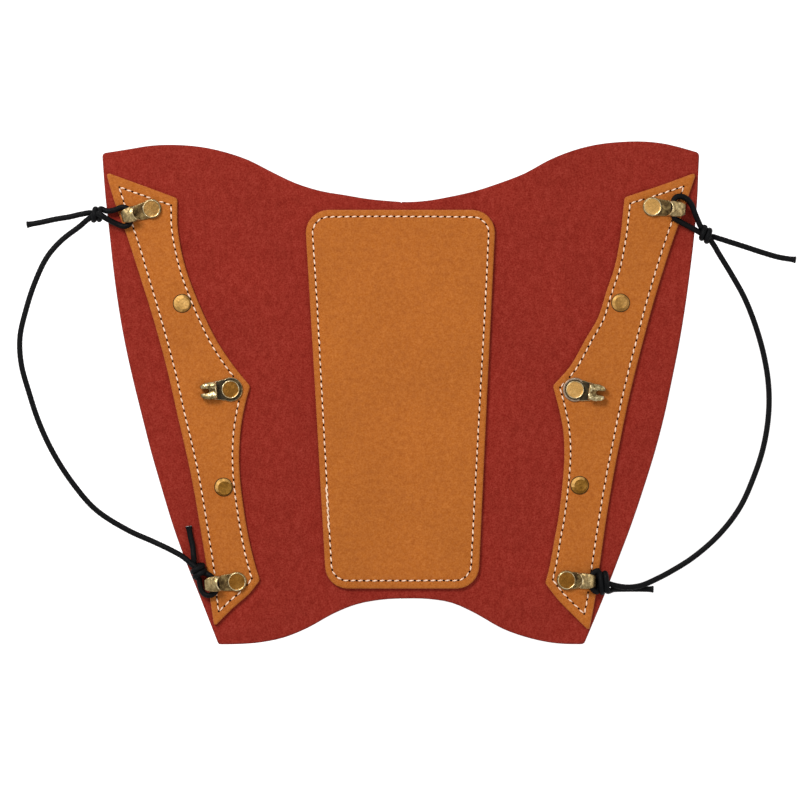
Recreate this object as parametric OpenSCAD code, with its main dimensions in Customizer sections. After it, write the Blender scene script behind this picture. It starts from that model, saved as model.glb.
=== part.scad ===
// Archery arm guard (bracer), laid flat with its leather face up.
// Frame: +Z out of the face, +Y to the elbow end, +X to the right seen from above.
// Origin: under the middle of the leather, on the surface that it lies on.

/* [Leather] */
// Thickness of the suede panel
panel_t = 2.2; // [1.8:0.1:2.6]
// Thickness of the two side facings
facing_t = 1.8; // [1.4:0.1:2.2]
// Thickness of the centre patch
patch_t = 2.0; // [1.4:0.1:2.4]
// Corner radius of the centre patch
patch_r = 9; // [7:0.5:11]
// Width of the split between the panel's flexing areas
split_gap = 0.2; // [0.1:0.05:0.4]

/* [Stitching] */
// Distance of each seam from the edge
seam_inset = 3.0; // [2.4:0.1:3.6]
// Width of the sewing thread
thread_w = 0.8; // [0.5:0.1:1]
// Height of the thread above the leather
thread_h = 0.3; // [0.2:0.05:0.4]

/* [Hooks] */
// Thickness of the brass sheet of the hooks
sheet_t = 0.8; // [0.6:0.1:0.9]
// Full height of a lacing hook
lace_h = 5.2; // [5.1:0.1:5.8]
// Full height of a locking hook
lock_h = 3.8; // [3.4:0.1:4.4]
// Half width of a lacing hook
lace_w = 3.3; // [3:0.1:3.5]
// Half width of a locking hook's head
lock_w = 3.6; // [3.2:0.1:3.8]
// Width of the slot in a locking hook
slot_w = 1.9; // [1.6:0.1:2.2]
// Depth of the slot in a locking hook
slot_l = 3.6; // [3:0.1:4]

/* [Rivets] */
// Diameter of every rivet cap
cap_d = 7; // [6.6:0.1:7.2]
// Diameter of every rivet post
post_d = 3; // [2.6:0.1:3.2]
// Thickness of a rivet cap
cap_t = 0.7; // [0.5:0.05:0.8]
// Thickness of the back caps, set flush into the leather
back_t = 0.5; // [0.4:0.05:0.6]

/* [Cords] */
// Diameter of the elastic cords
cord_d = 2.2; // [2:0.1:2.5]

/* [Hidden] */
$fn = 48;
face_z = panel_t + facing_t;
hole_r = post_d / 2 + 0.05;
pocket_r = cap_d / 2 + 0.1;

// Edges of the panel, each from one corner to the next, clockwise from the top left
panel_top = [[-119.2, 95.4], [-109, 97], [-99.5, 98.5], [-90, 98.8], [-80, 98], [-70.5, 96], [-61, 92.8], [-51.5, 88],
    [-42, 83.5], [-32, 80.4], [-22.5, 78.8], [-13, 77.2], [-3.5, 76.3], [3, 76], [11, 76.6], [20.5, 78.3], [30, 80.5],
    [40, 83.8], [49.5, 87.5], [59, 92.7], [68.5, 96.5], [78, 98.9], [88, 100], [97.5, 100.1], [107, 98.9], [119, 95.6]];
panel_right = [[119, 95.6], [118.6, 86.5], [118.2, 77], [117, 62.5], [115.3, 48], [113.3, 33.5], [110.9, 19], [108.1, 5],
    [105, -9.5], [101.2, -24], [96.7, -38.5], [91.8, -53], [86.5, -67], [80.9, -81.5], [73, -100.4]];
panel_bottom = [[73, -100.4], [65, -100.3], [58, -99.5], [49.5, -97.5], [40, -94], [30, -88.3], [20.5, -84], [11, -82.4],
    [1.5, -82.2], [-8, -82.7], [-18, -84.6], [-27.5, -88.5], [-37, -93.8], [-46.5, -97.7], [-56, -99.7], [-65, -100.4], [-72.8, -100.5]];
panel_left = [[-72.8, -100.5], [-80.2, -81.5], [-86, -67], [-91, -53], [-95.4, -38.5], [-99.6, -24], [-103.3, -9.5],
    [-106.9, 5], [-110, 19], [-112.6, 33.5], [-114.6, 48], [-116.2, 62.5], [-117.8, 77], [-118.6, 86.5], [-119.2, 95.4]];

// Edges of the side facings
lf_top = [[-117.6, 87.8], [-104, 82.9], [-89.1, 77.4]];
lf_inner = [[-89.1, 77.4], [-89.1, 67], [-87.8, 57.6], [-85.4, 48.1], [-81.9, 38.7], [-77.8, 29.2], [-72.7, 19.4], [-66.1, 9.8], [-60.1, 2.6]];
lf_waist = [[-60.1, 2.6], [-62.2, -5], [-63.8, -14], [-64.5, -24], [-64.2, -34], [-62.9, -45], [-61, -56.5], [-58.6, -67], [-56.2, -74.8]];
lf_foot = [[-56.2, -74.8], [-60.6, -80.4], [-67, -86], [-74.4, -93.4]];
lf_outer = [[-74.4, -93.4], [-76, -83], [-77.6, -69], [-79.8, -55.5], [-82.2, -41], [-85.2, -26], [-89, -9.6], [-93.2, 9],
    [-98.6, 28.8], [-104.6, 48], [-109.3, 62.5], [-114.4, 76.5], [-117.6, 87.8]];
rf_top = [[117.8, 87.8], [104.5, 82.9], [89.1, 77.8]];
rf_inner = [[89.1, 77.8], [88.3, 70], [87.3, 61.1], [85.2, 50.2], [81.9, 40.4], [78.6, 30], [73.4, 21], [67.6, 10.7], [60.5, 2.7]];
rf_waist = [[60.5, 2.7], [62.8, -6], [64.6, -15], [65.1, -25], [64.4, -36], [62.9, -49], [61.1, -59], [59.3, -69], [57.5, -76]];
rf_foot = [[57.5, -76], [62.5, -82.6], [69.4, -89.6], [74.9, -95]];
rf_outer = [[74.9, -95], [77.2, -83.5], [79.2, -69], [81.6, -52], [84.2, -36], [87.4, -19.2], [91.4, 0], [96.2, 19.2],
    [101.3, 38], [107.4, 57.6], [111.4, 69], [115, 79.5], [117.8, 87.8]];

// Fold lines, one on each side between patch and facing: x at y = 0, and how x grows with y
left_fold = [-47.7, -0.058];
right_fold = [47.7, 0.047];

// Rivets: place, then for a hook also its direction in degrees and its reach
LT = [-99.4, 73.2, 196.5, 12.3];
LM = [-67.9, 1.2, 184, 12.1];
LB = [-65.4, -75.4, 185.3, 12.9];
RT = [100.2, 74, -6, 13.2];
RM = [69.3, 1.1, -8, 12.2];
RB = [66, -74.8, -2, 11.6];
LU = [-87.2, 35.5];
LL = [-70.7, -37.7];
RU = [87.5, 35.7];
RL = [71.2, -37];

// Routes of the cords, as points on their centre lines
lc_run = [[-124.2, 69.2, 2], [-129.5, 66, 1.2], [-136, 61, 1.15], [-141.5, 54, 1.15], [-146.3, 44, 1.15], [-150, 33, 1.15],
    [-152.4, 22, 1.15], [-151.8, 11.5, 1.15], [-148.5, 0, 1.15], [-144.5, -12, 1.15], [-139, -24, 1.15], [-131.5, -36, 1.15],
    [-122, -47, 1.15], [-109, -55.2, 1.15], [-99, -59.7, 1.7], [-92.5, -62.7, 3.3], [-87, -65.5, 3.9], [-83.8, -68.2, 4.5]];
lc_eye_top = [[-118.6, 72.4, 4], [-113.6, 73.3, 5.3], [-110.9, 73.8, 6.1], [-108.9, 73.1, 6.5], [-107.9, 70.9, 6.6],
    [-107.6, 68.7, 6.5], [-108.4, 66.9, 6.2], [-110.4, 66.2, 5.6], [-112.6, 66.9, 4.9], [-115.2, 68.4, 4.1], [-118.8, 70, 3.4]];
lc_tail_top = [[-124.3, 72, 2.2], [-130.5, 71, 1.15], [-139.5, 69.3, 1.15], [-149.2, 67, 1.15]];
lc_eye_bottom = [[-78.6, -71.5, 5.6], [-76.1, -72.9, 6.2], [-74.5, -74.3, 6.5], [-73.5, -76.3, 6.6], [-73.5, -78.5, 6.4],
    [-74.7, -80.2, 5.9], [-77, -80.8, 5.2], [-79, -79.6, 4.7], [-80, -77.2, 4.6], [-80.6, -74.2, 4.9]];
lc_tail_bottom = [[-81.8, -67.4, 5], [-83, -61.5, 3.8], [-84.6, -53.4, 3.4]];
rc_run = [[123.4, 60, 2.2], [127.5, 55.4, 1.2], [132.5, 47, 1.15], [137.5, 38, 1.15], [142, 27, 1.15], [145.2, 15, 1.15],
    [147, 3, 1.15], [147, -9, 1.15], [144.8, -22, 1.15], [141, -34, 1.15], [135.5, -46, 1.15], [127, -57, 1.15], [117, -66, 1.15],
    [108, -71.8, 1.3], [101.5, -75, 2.4], [95.8, -77, 3.7], [90.4, -77.5, 4.3], [85, -76.8, 5.4]];
rc_eye_top = [[120.4, 66, 3.6], [118.4, 68.6, 4], [117.2, 71.2, 4.4], [115.8, 74.6, 4.9], [114.3, 76.7, 5.2], [112.1, 78, 5.6],
    [109.8, 77.9, 6], [108.6, 76.5, 6.4], [108.6, 73.8, 6.6], [108.5, 71.3, 6.6], [108.9, 69.4, 6.2], [110.8, 68.2, 5.5],
    [113.6, 67.1, 4.9], [118.8, 64.5, 3.8]];
rc_tail_top = [[125.7, 62.3, 2.2], [131, 60.5, 1.15], [143.5, 56.4, 1.15], [157.4, 52.9, 1.15]];
rc_eye_bottom = [[79.4, -71.3, 5.7], [76.8, -71.3, 6.3], [75.7, -72.6, 6.55], [75.4, -75, 6.6], [75.6, -77.4, 6.55],
    [76.7, -79, 6.3], [78.8, -79.2, 5.7]];
rc_tail_bottom = [[84.2, -79.3, 3], [89.4, -78.6, 1.9], [95, -78.4, 1.15], [100.6, -78.5, 1.15]];

function unit(v) = v / norm(v);

// Smooth curve through the points of an open edge, with n steps between two points, without its last point
function curve_step(a, b, c, d, t) = 0.5 * (2 * b + (c - a) * t + (2 * a - 5 * b + 4 * c - d) * t * t + (3 * b - a - 3 * c + d) * t * t * t);
function smooth_edge(P, n) = let(m = len(P) - 1)
    [for (i = [0:m - 1]) for (k = [0:n - 1]) curve_step(P[max(i - 1, 0)], P[i], P[i + 1], P[min(i + 2, m)], k / n)];

// Round corner of radius r at p, between the edges towards a and b
function round_corner(a, p, b, r) = let(u = unit(a - p), v = unit(b - p), h = acos(u * v) / 2,
    c = p + unit(u + v) * r / sin(h), s = p + u * r / tan(h) - c, e = p + v * r / tan(h) - c,
    a0 = atan2(s.y, s.x), d = (atan2(e.y, e.x) - a0 + 540) % 360 - 180)
    [for (k = [0:6]) c + r * [cos(a0 + d * k / 6), sin(a0 + d * k / 6)]];

// Closed outline from its edges, with the radius of the corner at the start of each edge
function outline(E, R, n = 3) = let(L = [for (e = E) smooth_edge(e, n)], q = len(E))
    [for (i = [0:q - 1]) each concat(
        round_corner(L[(i + q - 1) % q][len(L[(i + q - 1) % q]) - 1], L[i][0], L[i][1], R[i]),
        [for (k = [1:len(L[i]) - 1]) L[i][k]])];

module panel_shape() polygon(outline([panel_top, panel_right, panel_bottom, panel_left], [1.4, 1.6, 1.4, 0.9]));
module left_facing_shape() polygon(outline([lf_top, lf_inner, lf_waist, lf_foot, lf_outer], [0.8, 1.4, 1.6, 1.3, 0.6]));
module right_facing_shape() polygon(outline([rf_top, rf_inner, rf_waist, rf_foot, rf_outer], [0.8, 1.6, 1.6, 1.3, 0.6]));
module patch_shape() polygon(outline([[[-38.5, 72.8], [0, 72.8], [37.9, 72.8]], [[37.9, 72.8], [34.4, 0], [30.8, -78.2]],
    [[30.8, -78.2], [0, -78.2], [-29.8, -78.2]], [[-29.8, -78.2], [-34.2, 0], [-38.5, 72.8]]], [patch_r, patch_r, patch_r, patch_r], 1));

// Everything between two lines across the panel, each given as x at y = 0 and its slope
module strip(a, b) polygon([[a[0] - 120 * a[1], -120], [b[0] - 120 * b[1], -120], [b[0] + 120 * b[1], 120], [a[0] + 120 * a[1], 120]]);

module rivet_holes(P) for (p = P) translate([p.x, p.y, -1]) {
    cylinder(r = hole_r, h = 10);
    cylinder(r = pocket_r, h = 1 + back_t);
}

module panel_centre() color("firebrick") linear_extrude(panel_t) intersection() {
    panel_shape();
    strip(left_fold + [split_gap / 2, 0], right_fold - [split_gap / 2, 0]);
}
module wing_panel(a, b, P) color("firebrick") difference() {
    linear_extrude(panel_t) intersection() { panel_shape(); strip(a, b); }
    rivet_holes(P);
}
module left_wing_panel() wing_panel([-160, 0], left_fold - [split_gap / 2, 0], [LT, LM, LB, LU, LL]);
module right_wing_panel() wing_panel(right_fold + [split_gap / 2, 0], [160, 0], [RT, RM, RB, RU, RL]);

module centre_patch() color("peru") translate([0, 0, panel_t]) linear_extrude(patch_t) patch_shape();
module facing(P) color("peru") difference() {
    translate([0, 0, panel_t]) linear_extrude(facing_t) children();
    for (p = P) translate([p.x, p.y, 0]) cylinder(r = hole_r, h = 10);
}
module left_facing() facing([LT, LM, LB, LU, LL]) left_facing_shape();
module right_facing() facing([RT, RM, RB, RU, RL]) right_facing_shape();

// One line of thread, at the seam's distance from the edge of the shape
module seam(z) color("wheat") translate([0, 0, z]) linear_extrude(thread_h) difference() {
    offset(delta = -(seam_inset - thread_w / 2)) children();
    offset(delta = -(seam_inset + thread_w / 2)) children();
}
// Space of the hooks and rivets, which stand on the thread
module hook_room(H, C) {
    for (h = H) translate([h.x, h.y, face_z - 1]) rotate(h[2]) {
        cylinder(r = 5, h = 4);
        translate([0, -3.9, 0]) cube([h[3] + 0.3, 7.8, 4]);
    }
    for (c = C) translate([c.x, c.y, face_z - 1]) cylinder(r = cap_d / 2 + 0.2, h = 4);
}
module patch_stitching() seam(panel_t + patch_t) patch_shape();
module left_facing_stitching() color("wheat") difference() { seam(face_z) left_facing_shape(); hook_room([LT, LM, LB], [LU, LL]); }
module right_facing_stitching() color("wheat") difference() { seam(face_z) right_facing_shape(); hook_room([RT, RM, RB], [RU, RL]); }

// Side view of a hook: a strip of sheet that runs out, turns up and comes back to x = edge
module hook_side(reach, edge, h) let(R = h / 2, r = R - sheet_t, c = reach - R)
    polygon(concat([[0, 0], [c, 0]], [for (k = [1:11]) [c + R * sin(k * 15), R - R * cos(k * 15)]], [[c, h], [edge, h], [edge, h - sheet_t], [c, h - sheet_t]],
        [for (k = [1:11]) [c + r * sin(k * 15), R + r * cos(k * 15)]], [[c, sheet_t], [0, sheet_t]]));
module hook_bend(reach, edge, h, w) rotate([90, 0, 0]) translate([0, 0, -w]) linear_extrude(2 * w) hook_side(reach, edge, h);

// Lacing hook: the head's inner edge is an arc about the rivet, and its outer end is narrower
module lace_hook(p) color("goldenrod") translate([p.x, p.y, face_z]) rotate(p[2]) difference() {
    union() {
        cylinder(r = 3.9, h = sheet_t);
        intersection() {
            hook_bend(p[3], 3, lace_h, lace_w);
            linear_extrude(lace_h) polygon([[0, -lace_w], [p[3] - 4.1, -lace_w], [p[3] - 0.8, -lace_w + 0.9], [p[3], -2.1],
                [p[3], 2.1], [p[3] - 0.8, lace_w - 0.9], [p[3] - 4.1, lace_w], [0, lace_w]]);
        }
    }
    translate([0, 0, -1]) cylinder(r = hole_r, h = 9);
    translate([0, 0, sheet_t + 0.2]) cylinder(r = 7, h = 9);
}
// Locking hook: a wider base, a straight inner edge and a slot that grips the cord
module lock_hook(p) color("goldenrod") translate([p.x, p.y, face_z]) rotate(p[2]) difference() {
    union() {
        cylinder(r = 4.7, h = sheet_t);
        intersection() {
            hook_bend(p[3], 5.2, lock_h, lock_w);
            linear_extrude(lock_h) polygon([[0, -2.5], [5.1, -2.5], [5.1, -lock_w], [p[3] - 2, -lock_w], [p[3], -2.2],
                [p[3], 2.2], [p[3] - 2, lock_w], [5.1, lock_w], [5.1, 2.5], [0, 2.5]]);
        }
    }
    translate([0, 0, -1]) cylinder(r = hole_r, h = 9);
    translate([p[3] - slot_l + slot_w / 2, 0, sheet_t]) cylinder(r = slot_w / 2, h = 9);
    translate([p[3] - slot_l + slot_w / 2, -slot_w / 2, sheet_t]) cube([9, slot_w, 9]);
}
module left_top_hook() lace_hook(LT);
module left_lock_hook() lock_hook(LM);
module left_bottom_hook() lace_hook(LB);
module right_top_hook() lace_hook(RT);
module right_lock_hook() lock_hook(RM);
module right_bottom_hook() lace_hook(RB);

// Rivet of a hook: post and flat cap with a raised rim
module hook_rivet(p) color("darkgoldenrod") translate([p.x, p.y, 0]) {
    translate([0, 0, back_t]) cylinder(d = post_d, h = face_z + sheet_t - back_t);
    translate([0, 0, face_z + sheet_t]) rotate_extrude() polygon([[0, 0], [cap_d / 2 - 0.15, 0], [cap_d / 2, 0.2],
        [cap_d / 2, cap_t], [cap_d / 2 - 0.2, cap_t + 0.2], [cap_d / 2 - 0.5, cap_t + 0.15], [cap_d / 2 - 0.7, cap_t], [0, cap_t]]);
}
// Plain rivet: post and low domed cap
module plain_rivet(p) color("darkgoldenrod") translate([p.x, p.y, 0]) {
    translate([0, 0, back_t]) cylinder(d = post_d, h = face_z - back_t);
    translate([0, 0, face_z]) rotate_extrude() polygon(concat([[0, 0], [cap_d / 2 - 0.1, 0]],
        [for (k = [0:5]) [cap_d / 2 * cos(k * 18), 0.25 + (cap_t + 0.05) * sin(k * 18)]]));
}
module rivet_backs(P) color("darkgoldenrod") for (p = P) translate([p.x, p.y, 0])
    rotate_extrude() polygon([[0, 0], [cap_d / 2 - 0.3, 0], [cap_d / 2, 0.2], [cap_d / 2, back_t], [0, back_t]]);
module left_top_hook_rivet() hook_rivet(LT);
module left_lock_hook_rivet() hook_rivet(LM);
module left_bottom_hook_rivet() hook_rivet(LB);
module right_top_hook_rivet() hook_rivet(RT);
module right_lock_hook_rivet() hook_rivet(RM);
module right_bottom_hook_rivet() hook_rivet(RB);
module left_upper_rivet() plain_rivet(LU);
module left_lower_rivet() plain_rivet(LL);
module right_upper_rivet() plain_rivet(RU);
module right_lower_rivet() plain_rivet(RL);
module left_rivet_backs() rivet_backs([LT, LM, LB, LU, LL]);
module right_rivet_backs() rivet_backs([RT, RM, RB, RU, RL]);

// Round tube along a route, one ring of s sides at each of its points
function heading(P, i) = unit(P[min(i + 1, len(P) - 1)] - P[max(i - 1, 0)]);
module tube(P, s = 8) let(n = len(P), r = cord_d / 2)
    polyhedron(points = [for (i = [0:n - 1]) let(t = heading(P, i), a = unit(cross(t, [0, 0, 1])), b = cross(a, t))
            for (k = [0:s - 1]) P[i] + r * (a * cos(k * 360 / s) + b * sin(k * 360 / s))],
        faces = concat([[for (k = [0:s - 1]) k]], [[for (k = [0:s - 1]) n * s - 1 - k]],
            [for (i = [0:n - 2]) for (k = [0:s - 1]) each [
                [i * s + k, (i + 1) * s + k, (i + 1) * s + (k + 1) % s],
                [i * s + k, (i + 1) * s + (k + 1) % s, i * s + (k + 1) % s]]]));
module cord(R) color("black") for (P = R) tube(P);
// Outer shape of a knot: a barrel of half length a and radius b, turned by dir
module knot(p, dir, a, b) color("black") translate(p) rotate(dir) rotate([0, 90, 0])
    rotate_extrude() polygon([for (k = [0:12]) [b * sin(k * 15), -a * cos(k * 15)]]);
module left_cord() cord([lc_run, lc_eye_top, lc_tail_top, lc_eye_bottom, lc_tail_bottom]);
module right_cord() cord([rc_run, rc_eye_top, rc_tail_top, rc_eye_bottom, rc_tail_bottom]);
module left_top_knot() knot([-121.7, 71.1, 2.95], 80, 3.4, 2.9);
module left_bottom_knot() knot([-80.9, -70.6, 5.2], -20, 3.7, 2.9);
module right_top_knot() knot([122.3, 63.1, 2.95], 20, 3.5, 2.9);
module right_bottom_knot() knot([81.1, -75.3, 5.25], 85, 4.9, 3);

panel_centre();
left_wing_panel();
right_wing_panel();
centre_patch();
left_facing();
right_facing();
patch_stitching();
left_facing_stitching();
right_facing_stitching();
left_top_hook();
left_lock_hook();
left_bottom_hook();
right_top_hook();
right_lock_hook();
right_bottom_hook();
left_top_hook_rivet();
left_lock_hook_rivet();
left_bottom_hook_rivet();
right_top_hook_rivet();
right_lock_hook_rivet();
right_bottom_hook_rivet();
left_upper_rivet();
left_lower_rivet();
right_upper_rivet();
right_lower_rivet();
left_rivet_backs();
right_rivet_backs();
left_cord();
left_top_knot();
left_bottom_knot();
right_cord();
right_top_knot();
right_bottom_knot();
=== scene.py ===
import math

import bpy
import numpy as np
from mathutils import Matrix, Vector, geometry


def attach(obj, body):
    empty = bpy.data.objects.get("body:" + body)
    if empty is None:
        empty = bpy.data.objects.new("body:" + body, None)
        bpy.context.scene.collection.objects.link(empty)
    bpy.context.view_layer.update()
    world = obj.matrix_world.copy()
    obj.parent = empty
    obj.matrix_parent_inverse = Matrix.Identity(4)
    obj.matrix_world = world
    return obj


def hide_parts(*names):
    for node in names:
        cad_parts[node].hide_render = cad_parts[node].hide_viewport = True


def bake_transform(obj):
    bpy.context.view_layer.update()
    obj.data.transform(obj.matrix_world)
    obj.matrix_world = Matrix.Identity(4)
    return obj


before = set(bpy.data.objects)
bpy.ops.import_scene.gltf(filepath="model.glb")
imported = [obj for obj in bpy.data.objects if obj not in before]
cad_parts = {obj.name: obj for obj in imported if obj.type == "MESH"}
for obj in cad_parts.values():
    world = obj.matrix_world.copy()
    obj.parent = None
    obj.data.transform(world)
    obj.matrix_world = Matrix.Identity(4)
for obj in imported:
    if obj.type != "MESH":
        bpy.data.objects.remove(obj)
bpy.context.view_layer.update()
MM = 0.001
scene = bpy.context.scene

# ---------------------------------------------------------------- camera and light
cam = bpy.data.cameras.new("camera")
cam.sensor_width = 36
cam.lens = 300.9
cam_o = bpy.data.objects.new("camera", cam)
scene.collection.objects.link(cam_o)
cam_o.location = (-0.0004, -0.0030, 0.002 + 0.32 * 300 / 36)
cam_o.rotation_euler = (0, 0, 0)
cam.clip_start = 0.05
cam.clip_end = 20
scene.camera = cam_o
scene.view_settings.view_transform = "Standard"
scene.view_settings.look = "None"

world = bpy.data.worlds.new("studio")
scene.world = world
world.use_nodes = True
world.node_tree.nodes["Background"].inputs[0].default_value = (1, 1, 1, 1)
world.node_tree.nodes["Background"].inputs[1].default_value = 0.6


def area(name, loc, size, energy, target=(0, 0, 0)):
    d = bpy.data.lights.new(name, "AREA")
    d.shape = "RECTANGLE"
    d.size, d.size_y = size
    d.energy = energy
    o = bpy.data.objects.new(name, d)
    scene.collection.objects.link(o)
    o.location = loc
    o.rotation_euler = (Vector(target) - Vector(loc)).to_track_quat("-Z", "Y").to_euler()
    return o


area("key", (-0.55, 0.62, 0.95), (0.4, 0.4), 13.8)
area("fill", (0.7, -0.3, 0.8), (0.8, 0.8), 3.0)

# ---------------------------------------------------------------- outlines, in millimetres, as in the CAD
panel_top = [(-119.2, 95.4), (-109, 97), (-99.5, 98.5), (-90, 98.8), (-80, 98), (-70.5, 96), (-61, 92.8), (-51.5, 88),
    (-42, 83.5), (-32, 80.4), (-22.5, 78.8), (-13, 77.2), (-3.5, 76.3), (3, 76), (11, 76.6), (20.5, 78.3), (30, 80.5),
    (40, 83.8), (49.5, 87.5), (59, 92.7), (68.5, 96.5), (78, 98.9), (88, 100), (97.5, 100.1), (107, 98.9), (119, 95.6)]
panel_right = [(119, 95.6), (118.6, 86.5), (118.2, 77), (117, 62.5), (115.3, 48), (113.3, 33.5), (110.9, 19), (108.1, 5),
    (105, -9.5), (101.2, -24), (96.7, -38.5), (91.8, -53), (86.5, -67), (80.9, -81.5), (73, -100.4)]
panel_bottom = [(73, -100.4), (65, -100.3), (58, -99.5), (49.5, -97.5), (40, -94), (30, -88.3), (20.5, -84), (11, -82.4),
    (1.5, -82.2), (-8, -82.7), (-18, -84.6), (-27.5, -88.5), (-37, -93.8), (-46.5, -97.7), (-56, -99.7), (-65, -100.4), (-72.8, -100.5)]
panel_left = [(-72.8, -100.5), (-80.2, -81.5), (-86, -67), (-91, -53), (-95.4, -38.5), (-99.6, -24), (-103.3, -9.5),
    (-106.9, 5), (-110, 19), (-112.6, 33.5), (-114.6, 48), (-116.2, 62.5), (-117.8, 77), (-118.6, 86.5), (-119.2, 95.4)]
lf = [[(-117.6, 87.8), (-104, 82.9), (-89.1, 77.4)],
    [(-89.1, 77.4), (-89.1, 67), (-87.8, 57.6), (-85.4, 48.1), (-81.9, 38.7), (-77.8, 29.2), (-72.7, 19.4), (-66.1, 9.8), (-60.1, 2.6)],
    [(-60.1, 2.6), (-62.2, -5), (-63.8, -14), (-64.5, -24), (-64.2, -34), (-62.9, -45), (-61, -56.5), (-58.6, -67), (-56.2, -74.8)],
    [(-56.2, -74.8), (-60.6, -80.4), (-67, -86), (-74.4, -93.4)],
    [(-74.4, -93.4), (-76, -83), (-77.6, -69), (-79.8, -55.5), (-82.2, -41), (-85.2, -26), (-89, -9.6), (-93.2, 9),
     (-98.6, 28.8), (-104.6, 48), (-109.3, 62.5), (-114.4, 76.5), (-117.6, 87.8)]]
rf = [[(117.8, 87.8), (104.5, 82.9), (89.1, 77.8)],
    [(89.1, 77.8), (88.3, 70), (87.3, 61.1), (85.2, 50.2), (81.9, 40.4), (78.6, 30), (73.4, 21), (67.6, 10.7), (60.5, 2.7)],
    [(60.5, 2.7), (62.8, -6), (64.6, -15), (65.1, -25), (64.4, -36), (62.9, -49), (61.1, -59), (59.3, -69), (57.5, -76)],
    [(57.5, -76), (62.5, -82.6), (69.4, -89.6), (74.9, -95)],
    [(74.9, -95), (77.2, -83.5), (79.2, -69), (81.6, -52), (84.2, -36), (87.4, -19.2), (91.4, 0), (96.2, 19.2),
     (101.3, 38), (107.4, 57.6), (111.4, 69), (115, 79.5), (117.8, 87.8)]]
# how far each edge's seam lies inside it, from the edge's start to its end
patch_in = [[3.0, 2.65, 2.7, 3.0], [2.5, 2.5, 2.8, 3.1, 3.3], [3.3, 3.25, 3.2], [2.6, 2.55, 2.65, 2.85, 2.65]]
lf_in = [[3.9, 3.75, 3.5], [2.5, 2.3, 2.4, 2.6, 2.7], [2.7, 2.7, 2.6, 2.6, 2.9], [3.0, 3.0], [2.7, 2.9, 3.1, 3.0, 3.0, 3.5, 3.6]]
rf_in = [[3.6, 3.3, 3.0], [2.5, 2.2, 2.2, 2.4, 2.6], [2.6, 2.5, 2.4, 2.3, 2.5], [3.2, 3.6], [3.2, 3.0, 2.8, 2.7, 2.7, 2.85, 3.1]]
patch = [[(-38.5, 72.8), (0, 72.8), (37.9, 72.8)], [(37.9, 72.8), (34.4, 0), (30.8, -78.2)],
    [(30.8, -78.2), (0, -78.2), (-29.8, -78.2)], [(-29.8, -78.2), (-34.2, 0), (-38.5, 72.8)]]
PT, FT, KT = 2.2, 1.8, 2.0
FZ = PT + FT
RIVETS = {"left_top": (-99.4, 73.2, 196.5, 12.3), "left_lock": (-67.9, 1.2, 184, 12.1), "left_bottom": (-65.4, -75.4, 185.3, 12.9),
    "right_top": (100.2, 74, -6, 13.2), "right_lock": (69.3, 1.1, -8, 12.2), "right_bottom": (66, -74.8, -2, 11.6)}
LIP = {"left_top": 7.4, "left_bottom": 7.7, "right_top": 7.8, "right_bottom": 5.95}
PLAIN = {"left_upper": (-87.2, 35.5), "left_lower": (-70.7, -37.7), "right_upper": (87.5, 35.7), "right_lower": (71.2, -37)}


def cr(a, b, c, d, t):
    return 0.5 * (2 * b + (c - a) * t + (2 * a - 5 * b + 4 * c - d) * t * t + (3 * b - a - 3 * c + d) * t**3)


def smooth_edge(P, n):
    P = [np.array(p, float) for p in P]
    m = len(P) - 1
    return [cr(P[max(i - 1, 0)], P[i], P[i + 1], P[min(i + 2, m)], k / n) for i in range(m) for k in range(n)]


def round_corner(a, p, b, r, n=6):
    u, v = (a - p) / np.linalg.norm(a - p), (b - p) / np.linalg.norm(b - p)
    h = math.acos(max(-1, min(1, float(u @ v)))) / 2
    w = (u + v) / np.linalg.norm(u + v)
    c = p + w * r / math.sin(h)
    s, e = p + u * r / math.tan(h) - c, p + v * r / math.tan(h) - c
    a0 = math.atan2(s[1], s[0])
    d = (math.atan2(e[1], e[0]) - a0 + 3 * math.pi) % (2 * math.pi) - math.pi
    return [c + r * np.array((math.cos(a0 + d * k / n), math.sin(a0 + d * k / n))) for k in range(n + 1)]


def outline(E, R, n=3):
    L = [smooth_edge(e, n) for e in E]
    out = []
    for i in range(len(E)):
        if R[i] > 0:
            out += round_corner(L[i - 1][-1], L[i][0], L[i][1], R[i])
        else:
            out.append(L[i][0])
        out += L[i][1:]
    P = np.array(out)
    x, y = P[:, 0], P[:, 1]
    if np.sum(x * np.roll(y, -1) - np.roll(x, -1) * y) < 0:
        P = P[::-1]
    return P


def resample(P, step, closed=True):
    Q = np.vstack([P, P[:1]]) if closed else P
    seg = np.linalg.norm(np.diff(Q, axis=0), axis=1)
    s = np.concatenate([[0], np.cumsum(seg)])
    n = max(3, int(round(s[-1] / step)))
    t = np.linspace(0, s[-1], n, endpoint=not closed)
    return np.stack([np.interp(t, s, Q[:, k]) for k in range(Q.shape[1])], 1)


def seg_dist(X, P, closed=True):
    A = P
    B = np.roll(P, -1, 0) if closed else P[1:]
    if not closed:
        A = P[:-1]
    out = np.empty(len(X))
    d = B - A
    dd = (d * d).sum(1) + 1e-12
    for i in range(0, len(X), 2000):
        q = X[i:i + 2000, None, :] - A[None]
        t = np.clip((q * d).sum(2) / dd, 0, 1)
        out[i:i + 2000] = np.sqrt(((q - t[..., None] * d) ** 2).sum(2).min(1))
    return out


def inside(X, P):
    x, y = X[:, 0:1], X[:, 1:2]
    x0, y0 = P[:, 0], P[:, 1]
    x1, y1 = np.roll(x0, -1), np.roll(y0, -1)
    c = ((y0 > y) != (y1 > y)) & (x < (x1 - x0) * (y - y0) / (y1 - y0 + 1e-15) + x0)
    return c.sum(1) % 2 == 1


def normals2(P):
    t = np.roll(P, -1, 0) - np.roll(P, 1, 0)
    t /= np.linalg.norm(t, axis=1)[:, None] + 1e-12
    return np.stack([-t[:, 1], t[:, 0]], 1)  # inward on a counter-clockwise loop


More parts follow.
